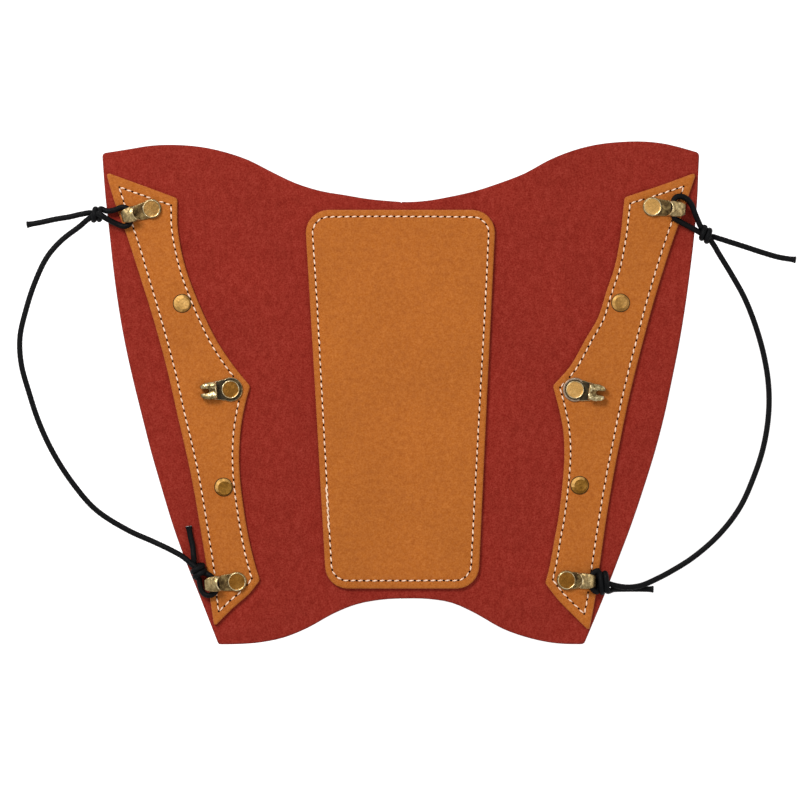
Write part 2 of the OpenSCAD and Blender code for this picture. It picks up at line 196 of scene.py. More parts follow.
def inset(P, d, step):
    Q = resample(P, min(step, 0.7))
    X = Q + normals2(Q) * d
    ok = (seg_dist(X, P) > 0.985 * d) & inside(X, P)
    return X[ok]


def plate(loop, t, rings, grid, r_top, r_bot, step=1.0, extra=None, holes=(), keep_open=None):
    """Flat sheet of thickness t as (x, y, h, layer) with rounded edges. keep_open(p) is true on outline edges that aren't rounded."""
    L = resample(loop, step)
    pts, edges = [L], []
    n = len(L)
    edges += [(i, (i + 1) % n) for i in range(n)]
    base = n
    hl = []
    for h in holes:
        H = resample(h, min(step, 0.5))
        pts.append(H)
        edges += [(base + i, base + (i + 1) % len(H)) for i in range(len(H))]
        hl.append((base, H))
        base += len(H)
    loops = [L] + [H for _, H in hl]
    cand = []
    for d in rings:
        for j, Q in enumerate(loops):
            sgn = 1 if j == 0 else -1
            cand.append(Q + normals2(Q) * d * sgn)
    lo, hi = L.min(0), L.max(0)
    gx, gy = np.meshgrid(np.arange(lo[0], hi[0], grid), np.arange(lo[1], hi[1], grid * 0.866))
    gx[1::2] += grid / 2
    G = np.stack([gx.ravel(), gy.ravel()], 1)
    R = list(rings) + [rings[-1] + grid * 0.6]
    ok_all = []
    allseg = lambda X: np.minimum.reduce([seg_dist(X, Q) for Q in loops])
    for i, d in enumerate(rings):
        for j in range(len(loops)):
            X = cand[i * len(loops) + j]
            k = allseg(X) > 0.97 * d
            ok_all.append(X[k & inside(X, L)])
    k = inside(G, L)
    G = G[k]
    G = G[allseg(G) > R[-1]]
    ok_all.append(G)
    X = np.vstack(ok_all)
    if extra is not None and len(extra):
        e = extra[inside(extra, L)]
        e = e[allseg(e) > rings[0] * 0.9]
        # grid points make way for the finer extra points
        if len(e):
            far = np.ones(len(X), bool)
            for i in range(0, len(X), 2000):
                dd = ((X[i:i + 2000, None] - e[None]) ** 2).sum(2).min(1)
                far[i:i + 2000] = dd > 0.25**2
            X = np.vstack([X[far], e])
    for _, H in hl:
        X = X[~inside(X, H)]
    P = np.vstack(pts + [X])
    _, idx = np.unique(np.round(P, 3), axis=0, return_index=True)
    keep = np.ones(len(P), bool)
    keep[base:] = np.isin(np.arange(base, len(P)), idx)
    P = P[keep]
    vo, eo, fo, ov, oe, of_ = geometry.delaunay_2d_cdt([Vector(p) for p in P], edges, [], 1, 1e-5)
    V = np.array([(v.x, v.y) for v in vo])
    F = [f for f in fo if len(f) == 3]
    if hl:
        C = np.array([V[list(f)].mean(0) for f in F])
        bad = np.zeros(len(F), bool)
        for _, H in hl:
            bad |= inside(C, H)
        F = [f for f, b in zip(F, bad) if not b]
    F = np.array(F)
    a, b, c = V[F[:, 0]], V[F[:, 1]], V[F[:, 2]]
    area2 = (b[:, 0] - a[:, 0]) * (c[:, 1] - a[:, 1]) - (c[:, 0] - a[:, 0]) * (b[:, 1] - a[:, 1])
    F = F[np.abs(area2) > 1e-7]
    area2 = area2[np.abs(area2) > 1e-7]
    F[area2 < 0] = F[area2 < 0][:, ::-1]
    used = np.unique(F)
    m = -np.ones(len(V), int)
    m[used] = np.arange(len(used))
    V, F = V[used], m[F]
    d = allseg(V)
    # boundary edges of the triangulation, each used by one triangle
    E = np.vstack([F[:, [0, 1]], F[:, [1, 2]], F[:, [2, 0]]])
    key = np.sort(E, 1)
    _, inv, cnt = np.unique(key, axis=0, return_inverse=True, return_counts=True)
    rim = E[cnt[inv.ravel()] == 1]
    free = np.ones(len(V), bool)
    if keep_open is not None:
        free = ~keep_open(V)
        ds = d.copy()
        # distance to the rounded part of the outline only
        A, B = L, np.roll(L, -1, 0)
        sel = ~(keep_open(A) & keep_open(B))
        dd = (B[sel] - A[sel])
        q2 = (dd * dd).sum(1)
        for i in range(0, len(V), 2000):
            q = V[i:i + 2000, None, :] - A[sel][None]
            tt = np.clip((q * dd).sum(2) / q2, 0, 1)
            ds[i:i + 2000] = np.sqrt(((q - tt[..., None] * dd) ** 2).sum(2).min(1))
        d = ds
    def prof(r):
        q = np.clip(r - d, 0, r)
        return r - np.sqrt(np.maximum(r * r - q * q, 0)) if r > 0 else 0 * d
    top = t / 2 - prof(r_top)
    bot = -t / 2 + prof(r_bot)
    n = len(V)
    faces = [tuple(f) for f in F] + [tuple(x + n for x in f[::-1]) for f in F]
    side0 = len(faces)
    faces += [(int(a), int(a) + n, int(b) + n, int(b)) for a, b in rim]
    return dict(xy=V, d=d, top=top, bot=bot, faces=faces, n=n, side0=side0, ntri=len(F))


def make(name, verts, faces, mats, idx=None, smooth=True, scale=MM):
    me = bpy.data.meshes.new(name)
    me.from_pydata([tuple(float(c) * scale for c in v) for v in verts], [], faces)
    for m in mats:
        me.materials.append(m)
    if idx is not None:
        me.polygons.foreach_set("material_index", idx)
    if smooth:
        me.polygons.foreach_set("use_smooth", [True] * len(me.polygons))
    me.update()
    o = bpy.data.objects.new(name, me)
    scene.collection.objects.link(o)
    return o


# ---------------------------------------------------------------- materials
def new_mat(name):
    m = bpy.data.materials.new(name)
    m.use_nodes = True
    nt = m.node_tree
    p = nt.nodes["Principled BSDF"]
    co = nt.nodes.new("ShaderNodeTexCoord").outputs["Object"]
    return m, nt, p, co


def noise(nt, co, scale, detail=3, rough=0.6, dist=0.0, stretch=None):
    src = co
    if stretch:
        mp = nt.nodes.new("ShaderNodeMapping")
        mp.inputs["Scale"].default_value = stretch
        nt.links.new(co, mp.inputs["Vector"])
        src = mp.outputs["Vector"]
    n = nt.nodes.new("ShaderNodeTexNoise")
    n.inputs["Scale"].default_value = scale
    n.inputs["Detail"].default_value = detail
    n.inputs["Roughness"].default_value = rough
    n.inputs["Distortion"].default_value = dist
    nt.links.new(src, n.inputs["Vector"])
    return n.outputs["Fac"]


def ramp(nt, fac, stops):
    r = nt.nodes.new("ShaderNodeValToRGB")
    e = r.color_ramp.elements
    while len(e) < len(stops):
        e.new(0.5)
    for k, (pos, col) in enumerate(stops):
        e[k].position = pos
        e[k].color = (*col, 1) if len(col) == 3 else col
    nt.links.new(fac, r.inputs["Fac"])
    return r.outputs["Color"]


def mix(nt, fac, a, b, mode="MIX"):
    m = nt.nodes.new("ShaderNodeMix")
    m.data_type = "RGBA"
    m.blend_type = mode
    for sock, v in ((m.inputs[0], fac), (m.inputs[6], a), (m.inputs[7], b)):
        if isinstance(v, bpy.types.NodeSocket):
            nt.links.new(v, sock)
        elif isinstance(v, (int, float)):
            sock.default_value = v
        else:
            sock.default_value = (*v, 1)
    return m.outputs[2]


def rng(nt, v, a, b, c, d):
    m = nt.nodes.new("ShaderNodeMapRange")
    m.inputs[1].default_value, m.inputs[2].default_value = a, b
    m.inputs[3].default_value, m.inputs[4].default_value = c, d
    nt.links.new(v, m.inputs[0])
    return m.outputs[0]


def add(nt, a, b, op="ADD"):
    m = nt.nodes.new("ShaderNodeMath")
    m.operation = op
    for s, v in ((m.inputs[0], a), (m.inputs[1], b)):
        if isinstance(v, (int, float)):
            s.default_value = v
        else:
            nt.links.new(v, s)
    return m.outputs[0]


def bump(nt, p, h, strength, distance):
    b = nt.nodes.new("ShaderNodeBump")
    b.inputs["Strength"].default_value = strength
    b.inputs["Distance"].default_value = distance
    nt.links.new(h, b.inputs["Height"])
    nt.links.new(b.outputs[0], p.inputs["Normal"])


def suede(name, dark, mid, light, rough=0.92):
    m, nt, p, co = new_mat(name)
    fine = noise(nt, co, 1700, 3, 0.7)
    nap = noise(nt, co, 420, 3, 0.6, 0.4, (1, 0.55, 1))
    cloud = noise(nt, co, 38, 4, 0.55)
    c1 = ramp(nt, nap, [(0.25, dark), (0.5, mid), (0.78, light)])
    c2 = ramp(nt, cloud, [(0.3, (0.95, 0.95, 0.95)), (0.7, (1.05, 1.05, 1.05))])
    c3 = mix(nt, 1.0, c1, c2, "MULTIPLY")
    c4 = ramp(nt, fine, [(0.34, (0.78, 0.40, 0.32)), (0.66, (1.20, 1.62, 1.72))])
    nt.links.new(mix(nt, 1.0, c3, c4, "MULTIPLY"), p.inputs["Base Color"])
    nt.links.new(rng(nt, nap, 0.2, 0.8, rough - 0.08, rough + 0.06), p.inputs["Roughness"])
    p.inputs["Specular IOR Level"].default_value = 0.1
    p.inputs["Sheen Weight"].default_value = 0.04
    p.inputs["Sheen Roughness"].default_value = 0.5
    bump(nt, p, add(nt, add(nt, fine, 0.5, "MULTIPLY"), nap), 0.55, 0.00022)
    return m


def nubuck(name, dark, mid, light, rough=0.74):
    m, nt, p, co = new_mat(name)
    pores = noise(nt, co, 1600, 3, 0.7)
    mott = noise(nt, co, 520, 4, 0.62, 0.3)
    cloud = noise(nt, co, 30, 4, 0.55)
    v = nt.nodes.new("ShaderNodeTexVoronoi")
    v.inputs["Scale"].default_value = 620
    v.inputs["Randomness"].default_value = 1.0
    nt.links.new(co, v.inputs["Vector"])
    grain = v.outputs["Distance"]
    c1 = ramp(nt, mott, [(0.27, dark), (0.52, mid), (0.77, light)])
    c2 = ramp(nt, cloud, [(0.3, (0.94, 0.93, 0.92)), (0.7, (1.05, 1.05, 1.05))])
    c3 = mix(nt, 1.0, c1, c2, "MULTIPLY")
    c4 = ramp(nt, pores, [(0.34, (0.87, 0.77, 0.35)), (0.66, (1.11, 1.20, 1.62))])
    nt.links.new(mix(nt, 1.0, c3, c4, "MULTIPLY"), p.inputs["Base Color"])
    nt.links.new(rng(nt, mott, 0.25, 0.75, rough - 0.1, rough + 0.08), p.inputs["Roughness"])
    p.inputs["Specular IOR Level"].default_value = 0.14
    bump(nt, p, add(nt, add(nt, grain, 0.7, "MULTIPLY"), add(nt, pores, 0.6, "MULTIPLY")), 0.4, 0.00018)
    return m


RED = suede("suede_red", (0.172, 0.0115, 0.0055), (0.203, 0.0165, 0.0090), (0.236, 0.0235, 0.0145))
RED_EDGE = suede("suede_red_edge", (0.12, 0.008, 0.005), (0.155, 0.012, 0.007), (0.19, 0.017, 0.010), 0.85)
RED_BACK = suede("suede_red_back", (0.165, 0.016, 0.010), (0.205, 0.023, 0.015), (0.26, 0.036, 0.025))
TAN = nubuck("nubuck_tan", (0.305, 0.082, 0.009), (0.348, 0.100, 0.0125), (0.392, 0.120, 0.018))
TAN_EDGE = nubuck("nubuck_tan_edge", (0.35, 0.095, 0.018), (0.41, 0.122, 0.028), (0.47, 0.152, 0.042), 0.6)


def brass_mat(name, dark, mid, light, r0=0.5, r1=0.3, metal=0.95, fine=(0.72, 1.12), scale=330):
    m, nt, p, co = new_mat(name)
    n1 = noise(nt, co, scale, 5, 0.65, 0.5)
    n2 = noise(nt, co, 1700, 3, 0.6)
    c1 = ramp(nt, n1, [(0.32, dark), (0.5, mid), (0.68, light)])
    c2 = ramp(nt, n2, [(0.35, (fine[0],) * 3), (0.65, (fine[1],) * 3)])
    nt.links.new(mix(nt, 1.0, c1, c2, "MULTIPLY"), p.inputs["Base Color"])
    p.inputs["Metallic"].default_value = metal
    nt.links.new(rng(nt, n1, 0.3, 0.7, r0, r1), p.inputs["Roughness"])
    bump(nt, p, add(nt, n1, add(nt, n2, 0.5, "MULTIPLY")), 0.3, 0.00012)
    return m


BRASS = brass_mat("antique_brass", (0.13, 0.085, 0.033), (0.33, 0.235, 0.105), (0.56, 0.43, 0.21), 0.45, 0.3, scale=450)
# pale worn brass; on the hooks' lips, the lock heads' inner ridges, the lacing heads' cut edges and the hook caps' rims
# it is also a painted highlight line
BRASS_WORN_AND_HIGHLIGHT = brass_mat("antique_brass_worn_and_highlight", (0.30, 0.21, 0.09), (0.60, 0.47, 0.25), (0.84, 0.72, 0.46), 0.4, 0.27, scale=560)
BRASS_CAST = brass_mat("antique_brass_cast", (0.075, 0.048, 0.018), (0.42, 0.315, 0.145), (0.86, 0.74, 0.46), 0.46, 0.28, scale=620)
# near-black brown brass: oxide, and painted shade on the caps' sides and feet and on the hooks' bases around the caps
BRASS_OXIDE_AND_SHADE = brass_mat("antique_brass_oxide_and_shade", (0.014, 0.009, 0.004), (0.040, 0.027, 0.010), (0.115, 0.080, 0.030), 0.6, 0.45, 0.7, scale=420)
# brown painted shade in the hollow under the lacing hooks' heads and in the pit beside the lock hooks' slots
BRASS_PAINTED_SHADE = brass_mat("antique_brass_painted_shade", (0.040, 0.020, 0.006), (0.125, 0.075, 0.025), (0.36, 0.25, 0.10), 0.5, 0.35, 0.85, scale=520)
CAP = brass_mat("antique_brass_cap", (0.24, 0.12, 0.030), (0.33, 0.172, 0.046), (0.43, 0.25, 0.08), 0.46, 0.34, 0.9, (0.85, 1.08), 300)
CAP_LIGHT = brass_mat("antique_brass_cap_light", (0.46, 0.25, 0.068), (0.60, 0.33, 0.095), (0.72, 0.43, 0.15), 0.46, 0.34, 0.9, (0.88, 1.08), 300)
# a pale rivet tone, also used as the painted highlight on the lit side of the rivets' bevels
RIV_PALE_AND_HIGHLIGHT = brass_mat("rivet_brass_pale_and_highlight", (0.36, 0.20, 0.052), (0.48, 0.275, 0.078), (0.60, 0.36, 0.12), 0.72, 0.6, 0.9, (0.88, 1.08), 300)
RIV_MID = brass_mat("rivet_brass", (0.26, 0.13, 0.030), (0.35, 0.185, 0.045), (0.45, 0.25, 0.075), 0.72, 0.6, 0.9, (0.86, 1.08), 300)
RIV_OLD = brass_mat("rivet_brass_old", (0.155, 0.068, 0.007), (0.215, 0.098, 0.012), (0.31, 0.155, 0.028), 0.7, 0.58, 0.9, (0.84, 1.1), 300)
BRASS_ROSE = brass_mat("antique_brass_rose", (0.12, 0.075, 0.048), (0.32, 0.225, 0.155), (0.50, 0.38, 0.28), 0.5, 0.36, 0.85, scale=520)
CAP_OLD = brass_mat("antique_brass_cap_old", (0.175, 0.068, 0.007), (0.24, 0.098, 0.012), (0.35, 0.16, 0.028), 0.48, 0.34, 0.9, (0.82, 1.1), 300)


def thread_mat(name, a, b, spec=0.4):
    m, nt, p, co = new_mat(name)
    n1 = noise(nt, co, 2600, 3, 0.6)
    n2 = noise(nt, co, 160, 2, 0.5)
    c = ramp(nt, n1, [(0.3, a), (0.7, b)])
    c2 = ramp(nt, n2, [(0.3, (0.9, 0.84, 0.82)), (0.7, (1.08, 1.06, 1.06))])
    nt.links.new(mix(nt, 1.0, c, c2, "MULTIPLY"), p.inputs["Base Color"])
    nt.links.new(rng(nt, n1, 0.2, 0.8, 0.5, 0.7), p.inputs["Roughness"])
    p.inputs["Specular IOR Level"].default_value = spec
    bump(nt, p, n1, 0.4, 0.00008)
    return m


THREAD = thread_mat("thread_cream", (0.62, 0.42, 0.29), (0.90, 0.69, 0.52), 0.3)
# near-black thread: the lower thread on the underside, and the painted shade of the needle holes on top
BOBBIN_AND_HOLE_SHADE = thread_mat("thread_dark_and_hole_shade", (0.008, 0.0012, 0.0008), (0.022, 0.0034, 0.0024), 0.04)


def cord_mat():
    m, nt, p, co = new_mat("elastic_braid")
    n1 = noise(nt, co, 3200, 3, 0.6)
    n2 = noise(nt, co, 500, 3, 0.6)
    c = ramp(nt, n1, [(0.3, (0.0012, 0.0012, 0.0014)), (0.7, (0.0050, 0.0050, 0.0056))])
    nt.links.new(mix(nt, 1.0, c, ramp(nt, n2, [(0.3, (0.8, 0.8, 0.8)), (0.7, (1.2, 1.2, 1.2))]), "MULTIPLY"), p.inputs["Base Color"])
    nt.links.new(rng(nt, n1, 0.2, 0.8, 0.45, 0.7), p.inputs["Roughness"])
    p.inputs["Specular IOR Level"].default_value = 0.075
    bump(nt, p, n1, 0.35, 0.00008)
    return m


CORD = cord_mat()


def melt_mat():
    m, nt, p, co = new_mat("melted_end")
    n1 = noise(nt, co, 1400, 3, 0.6)
    nt.links.new(ramp(nt, n1, [(0.35, (0.03, 0.03, 0.03)), (0.65, (0.30, 0.29, 0.28))]), p.inputs["Base Color"])
    nt.links.new(rng(nt, n1, 0.2, 0.8, 0.25, 0.5), p.inputs["Roughness"])
    bump(nt, p, n1, 0.5, 0.0002)
    return m


MELT = melt_mat()

# ---------------------------------------------------------------- floor
fm, fnt, fp, fco = new_mat("floor")
nt_n = noise(fnt, fco, 3, 2)
fnt.links.new(ramp(fnt, nt_n, [(0.3, (0.44, 0.44, 0.44)), (0.7, (0.46, 0.46, 0.46))]), fp.inputs["Base Color"])
fp.inputs["Roughness"].default_value = 0.9
fp.inputs["Emission Color"].default_value = (1, 1, 1, 1)
fp.inputs["Emission Strength"].default_value = 0.8
fp.inputs["Specular IOR Level"].default_value = 0.1
# clear when seen from underneath, so the back of the leather can be looked at
back = fnt.nodes.new("ShaderNodeNewGeometry").outputs["Backfacing"]
clear = fnt.nodes.new("ShaderNodeBsdfTransparent")
both = fnt.nodes.new("ShaderNodeMixShader")
fnt.links.new(back, both.inputs[0])
fnt.links.new(fp.outputs["BSDF"], both.inputs[1])
fnt.links.new(clear.outputs["BSDF"], both.inputs[2])
fnt.links.new(both.outputs["Shader"], fnt.nodes["Material Output"].inputs["Surface"])
# low enough for the wings to hang folded above it
DROP = -103
floor = make("floor", [(-4000, -4000, DROP), (4000, -4000, DROP), (4000, 4000, DROP), (-4000, 4000, DROP)], [(0, 1, 2, 3)], [fm], smooth=False)

# ---------------------------------------------------------------- leather
panel_loop = outline([panel_top, panel_right, panel_bottom, panel_left], [1.4, 1.6, 1.4, 0.9])
lf_loop = outline(lf, [0.8, 1.4, 1.6, 1.3, 0.6])
rf_loop = outline(rf, [0.8, 1.6, 1.6, 1.3, 0.6])
patch_loop = outline(patch, [9, 9, 9, 9], 6)


def cross_at(A, B):
    """Where line A, near its end, crosses line B, near its start: indices and the point."""
    best = None
    for i in range(len(A) - 2, len(A) // 2, -1):
        p, r = A[i], A[i + 1] - A[i]
        q, w = B[:len(B) // 2], B[1:len(B) // 2 + 1] - B[:len(B) // 2]
        den = r[0] * w[:, 1] - r[1] * w[:, 0]
        den = np.where(abs(den) < 1e-12, 1e-12, den)
        d = q - p
        t = (d[:, 0] * w[:, 1] - d[:, 1] * w[:, 0]) / den
        u = (d[:, 0] * r[1] - d[:, 1] * r[0]) / den
        k = np.where((t >= 0) & (t <= 1) & (u >= 0) & (u <= 1))[0]
        if len(k):
            return i, int(k[0]), p + r * t[k[0]]
    raise ValueError("seam edges don't meet")


def seam_edges(E, ins, r):
    """The seam inside the edges E as one open line per edge, or as one closed line when its corners are rounded."""
    O = []
    C = np.array([q for e in E for q in e[:-1]], float)
    turn = 1 if np.sum(C[:, 0] * np.roll(C[:, 1], -1) - np.roll(C[:, 0], -1) * C[:, 1]) < 0 else -1
    for e, d in zip(E, ins):
        L = resample(np.array(smooth_edge(e, 6) + [np.array(e[-1], float)]), 0.25, closed=False)
        T = np.gradient(L, axis=0)
        T /= np.linalg.norm(T, axis=1)[:, None]
        w = np.interp(np.linspace(0, 1, len(L)), np.linspace(0, 1, len(d)), d)
        L = L + np.stack([T[:, 1], -T[:, 0]], 1) * w[:, None] * turn
        k = np.arange(1, 33)[:, None] * 0.25
        O.append(np.vstack([L[0] - T[0] * k[::-1], L, L[-1] + T[-1] * k]))
    n = len(O)
    X = [cross_at(O[k], O[(k + 1) % n]) for k in range(n)]
    out = []
    for k in range(n):
        a, b = X[k - 1], X[k]
        out.append(np.vstack([a[2], O[k][a[1] + 1:b[0] + 1], b[2]]))
    if not r:
        return out
    arcs, loop = [], []
    for k in range(n):
        A, B = out[k], out[(k + 1) % n]
        arcs.append(np.array(round_corner(A[-31], A[-1], B[30], r, 14)))
    for k in range(n):
        A = out[k]
        cut0, cut1 = np.linalg.norm(arcs[k - 1][-1] - A[0]), np.linalg.norm(arcs[k][0] - A[-1])
        keep = (np.linalg.norm(A - A[0], axis=1) > cut0) & (np.linalg.norm(A - A[-1], axis=1) > cut1)
        loop += [A[keep], arcs[k]]
    L = np.vstack(loop)
    return [np.vstack([L, L[:1]])]


seam_parts = {"left_facing": seam_edges(lf, lf_in, 0), "right_facing": seam_edges(rf, rf_in, 0), "centre_patch": seam_edges(patch, patch_in, 6.4)}
seams = {k: resample(np.vstack([q[:-1] for q in v]), 0.25) for k, v in seam_parts.items()}


def along(S, pitch):
    """The needle holes on the open line S at an even pitch near the one given, with one at each end."""
    seg = np.linalg.norm(np.diff(S, axis=0), axis=1)
    s = np.concatenate([[0], np.cumsum(seg)])
    n = int(round(s[-1] / pitch))
    t = np.arange(n) * s[-1] / n
    at = lambda x: np.stack([np.interp(x, s, S[:, k]) for k in (0, 1)], 1)
    return at, t, s[-1] / n


def near_seam(S, offs=(0.0, 0.35, 0.75, 1.25), step=0.5):
    Q = resample(S, step)
    N = normals2(Q)
    return np.vstack([Q + N * o * s for o in offs for s in ((1, -1) if o else (1,))])


def seam_dent(V, S, depth, width):
    d = seam_dist_fast(V, S)
    return -depth * np.exp(-(d / width) ** 2)


def seam_dist_fast(V, S):
    out = np.full(len(V), 9.0)
    for i in range(0, len(V), 1500):
        out[i:i + 1500] = np.sqrt(((V[i:i + 1500, None] - S[None]) ** 2).sum(2).min(1))
    return out


rs = np.random.RandomState(7)
W_K = rs.uniform(-1, 1, (9, 2)) * np.array([[0.05], [0.05], [0.08], [0.08], [0.12], [0.12], [0.16], [0.2], [0.25]])
W_P = rs.uniform(0, 6.28, 9)


def ripple(V, amp):
    z = np.zeros(len(V))
    for k, p in zip(W_K, W_P):
        z += np.sin(V @ k + p) * 0.05 / (0.05 + np.linalg.norm(k))
    return amp * z / 3


def leather(name, node, loop, t, z0, seam, mats, holes=()):
    pl = plate(loop, t, [0.12, 0.32, 0.6, 1.0, 1.6], 2.4, 0.62, 0.25, 0.8, extra=near_seam(seam))
    V = pl["xy"]
    top = z0 + t / 2 + pl["top"] + seam_dent(V, seam, 0.20, 0.55) + ripple(V, 0.05) * np.clip(pl["d"] / 3, 0, 1)
    # the stitches pull the edge down a little
    top += -0.10 * np.exp(-((pl["d"] - 0.0) / 1.2) ** 2)
    bot = z0 + t / 2 + pl["bot"]
    verts = np.vstack([np.column_stack([V, top]), np.column_stack([V, bot])])
    n = pl["ntri"]
    C = pl["d"][np.array([f for f in pl["faces"][:n]])].mean(1)
    idx = [1 if c < 0.22 else 0 for c in C] + [0] * n + [1] * (len(pl["faces"]) - 2 * n)
    o = make(name, verts, pl["faces"], mats, idx)
    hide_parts(node)
    return o


left_f = leather("left_facing_leather", "left_facing", lf_loop, FT, PT, seams["left_facing"], [TAN, TAN_EDGE])
right_f = leather("right_facing_leather", "right_facing", rf_loop, FT, PT, seams["right_facing"], [TAN, TAN_EDGE])
patch_o = leather("centre_patch_leather", "centre_patch", patch_loop, KT, PT, seams["centre_patch"], [TAN, TAN_EDGE])
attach(left_f, "left_wing")
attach(right_f, "right_wing")
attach(patch_o, "centre")


def half(loop, sign):
    """The part of the panel's outline on one side of x = 0, closed along x = 0."""
    P = loop[::1]
    n = len(P)
    out = []
    for i in range(n):
        a, b = P[i], P[(i + 1) % n]
        ina, inb = a[0] * sign >= 0, b[0] * sign >= 0
        if ina:
            out.append(a)
        if ina != inb:
            t = a[0] / (a[0] - b[0])
            out.append(a + (b - a) * t)
    return np.array(out)


under = np.vstack([near_seam(S, (0.0, 0.5, 1.1), 0.8) for S in seams.values()])
allseams = np.vstack(list(seams.values()))
for side, sign in (("left", -1), ("right", 1)):
    loop = half(panel_loop, sign)
    on_cut = lambda A: np.abs(A[:, 0]) < 1e-4
    # round openings that the rivets' back caps sit in, flush with the underside
    spots = [p[:2] for n, p in list(RIVETS.items()) + list(PLAIN.items()) if n.startswith(side)]
    ring = np.linspace(0, 2 * math.pi, 40, endpoint=False)
    holes = [np.column_stack([x + 3.56 * np.cos(ring), y + 3.56 * np.sin(ring)]) for x, y in spots]
    pl = plate(loop, PT, [0.12, 0.35, 0.7, 1.2, 1.9], 2.6, 0.7, 0.35, 1.0,
        extra=under[under[:, 0] * sign > 0.6], keep_open=on_cut, holes=holes)
    V = pl["xy"]
    top = PT / 2 + pl["top"] + ripple(V, 0.05) * np.clip(pl["d"] / 3, 0, 1) * np.where(np.abs(V[:, 0]) < 1, 0, 1)
    bot = PT / 2 + pl["bot"] - seam_dent(V, allseams, 0.22, 0.6)
    verts = np.vstack([np.column_stack([V, top]), np.column_stack([V, bot])])
    n = pl["ntri"]
    F = pl["faces"]
    C = pl["d"][np.array(F[:n])].mean(1)
    idx = [1 if c < 0.2 else 0 for c in C] + [2] * n + [1] * (len(F) - 2 * n)
    # the cut under the patch stays open, so that the halves read as one sheet
    keep = [i for i, f in enumerate(F) if not (i >= 2 * n and all(abs(verts[v][0]) < 1e-4 for v in f))]
    o = make(f"{side}_suede_half", verts, [F[i] for i in keep], [RED, RED_EDGE, RED_BACK], [idx[i] for i in keep])
    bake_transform(o)
    if side == "left":
        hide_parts("left_wing_panel", "panel_centre")
    else:
        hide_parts("right_wing_panel")

# ---------------------------------------------------------------- stitches
def strand(P, r, lobes, twist, ring=10, flat=0.8):
    """A twisted thread along the points P, as vertices and faces."""
    P = np.array(P)
    T = np.gradient(P, axis=0)
    T /= np.linalg.norm(T, axis=1)[:, None]
    A = np.cross(T, (0, 0, 1.0))
    A /= np.linalg.norm(A, axis=1)[:, None] + 1e-9
    B = np.cross(A, T)
    s = np.concatenate([[0], np.cumsum(np.linalg.norm(np.diff(P, axis=0), axis=1))])
    vs, n = [], len(P)
    for i in range(n):
        e = math.sin(math.pi * min(1, max(0, (i + 0.35) / (n - 0.3)))) ** 0.45
        for k in range(ring):
            th = 2 * math.pi * k / ring
            rr = r * e * (1 + 0.16 * math.cos(lobes * (th + twist * s[i])))
            vs.append(P[i] + A[i] * rr * math.cos(th) + B[i] * rr * math.sin(th) * flat)
    fs = [(i * ring + k, i * ring + (k + 1) % ring, (i + 1) * ring + (k + 1) % ring, (i + 1) * ring + k) for i in range(n - 1) for k in range(ring)]
    fs += [tuple(range(ring))[::-1], tuple((n - 1) * ring + k for k in range(ring))]
    return vs, fs


def gather(parts):
    V, F = [], []
    for vs, fs in parts:
        b = len(V)
        V += vs
        F += [tuple(x + b for x in f) for f in fs]
    return V, F


def blocked(p, side):
    for n, (x, y, a, reach) in RIVETS.items():
        if not n.startswith(side):
            continue
        d = p - np.array((x, y))
        ca, sa = math.cos(math.radians(a)), math.sin(math.radians(a))
        u, v = d[0] * ca + d[1] * sa, -d[0] * sa + d[1] * ca
        base = 4.8 if "lock" in n else 3.9
        if math.hypot(*d) < base + 0.3 or (0 < u < reach - 0.5 and abs(v) < (2.5 if "lock" in n else 3.2) + 0.35):
            return True
    for n, (x, y) in PLAIN.items():
        if n.startswith(side) and math.hypot(p[0] - x, p[1] - y) < 3.6:
            return True
    return False


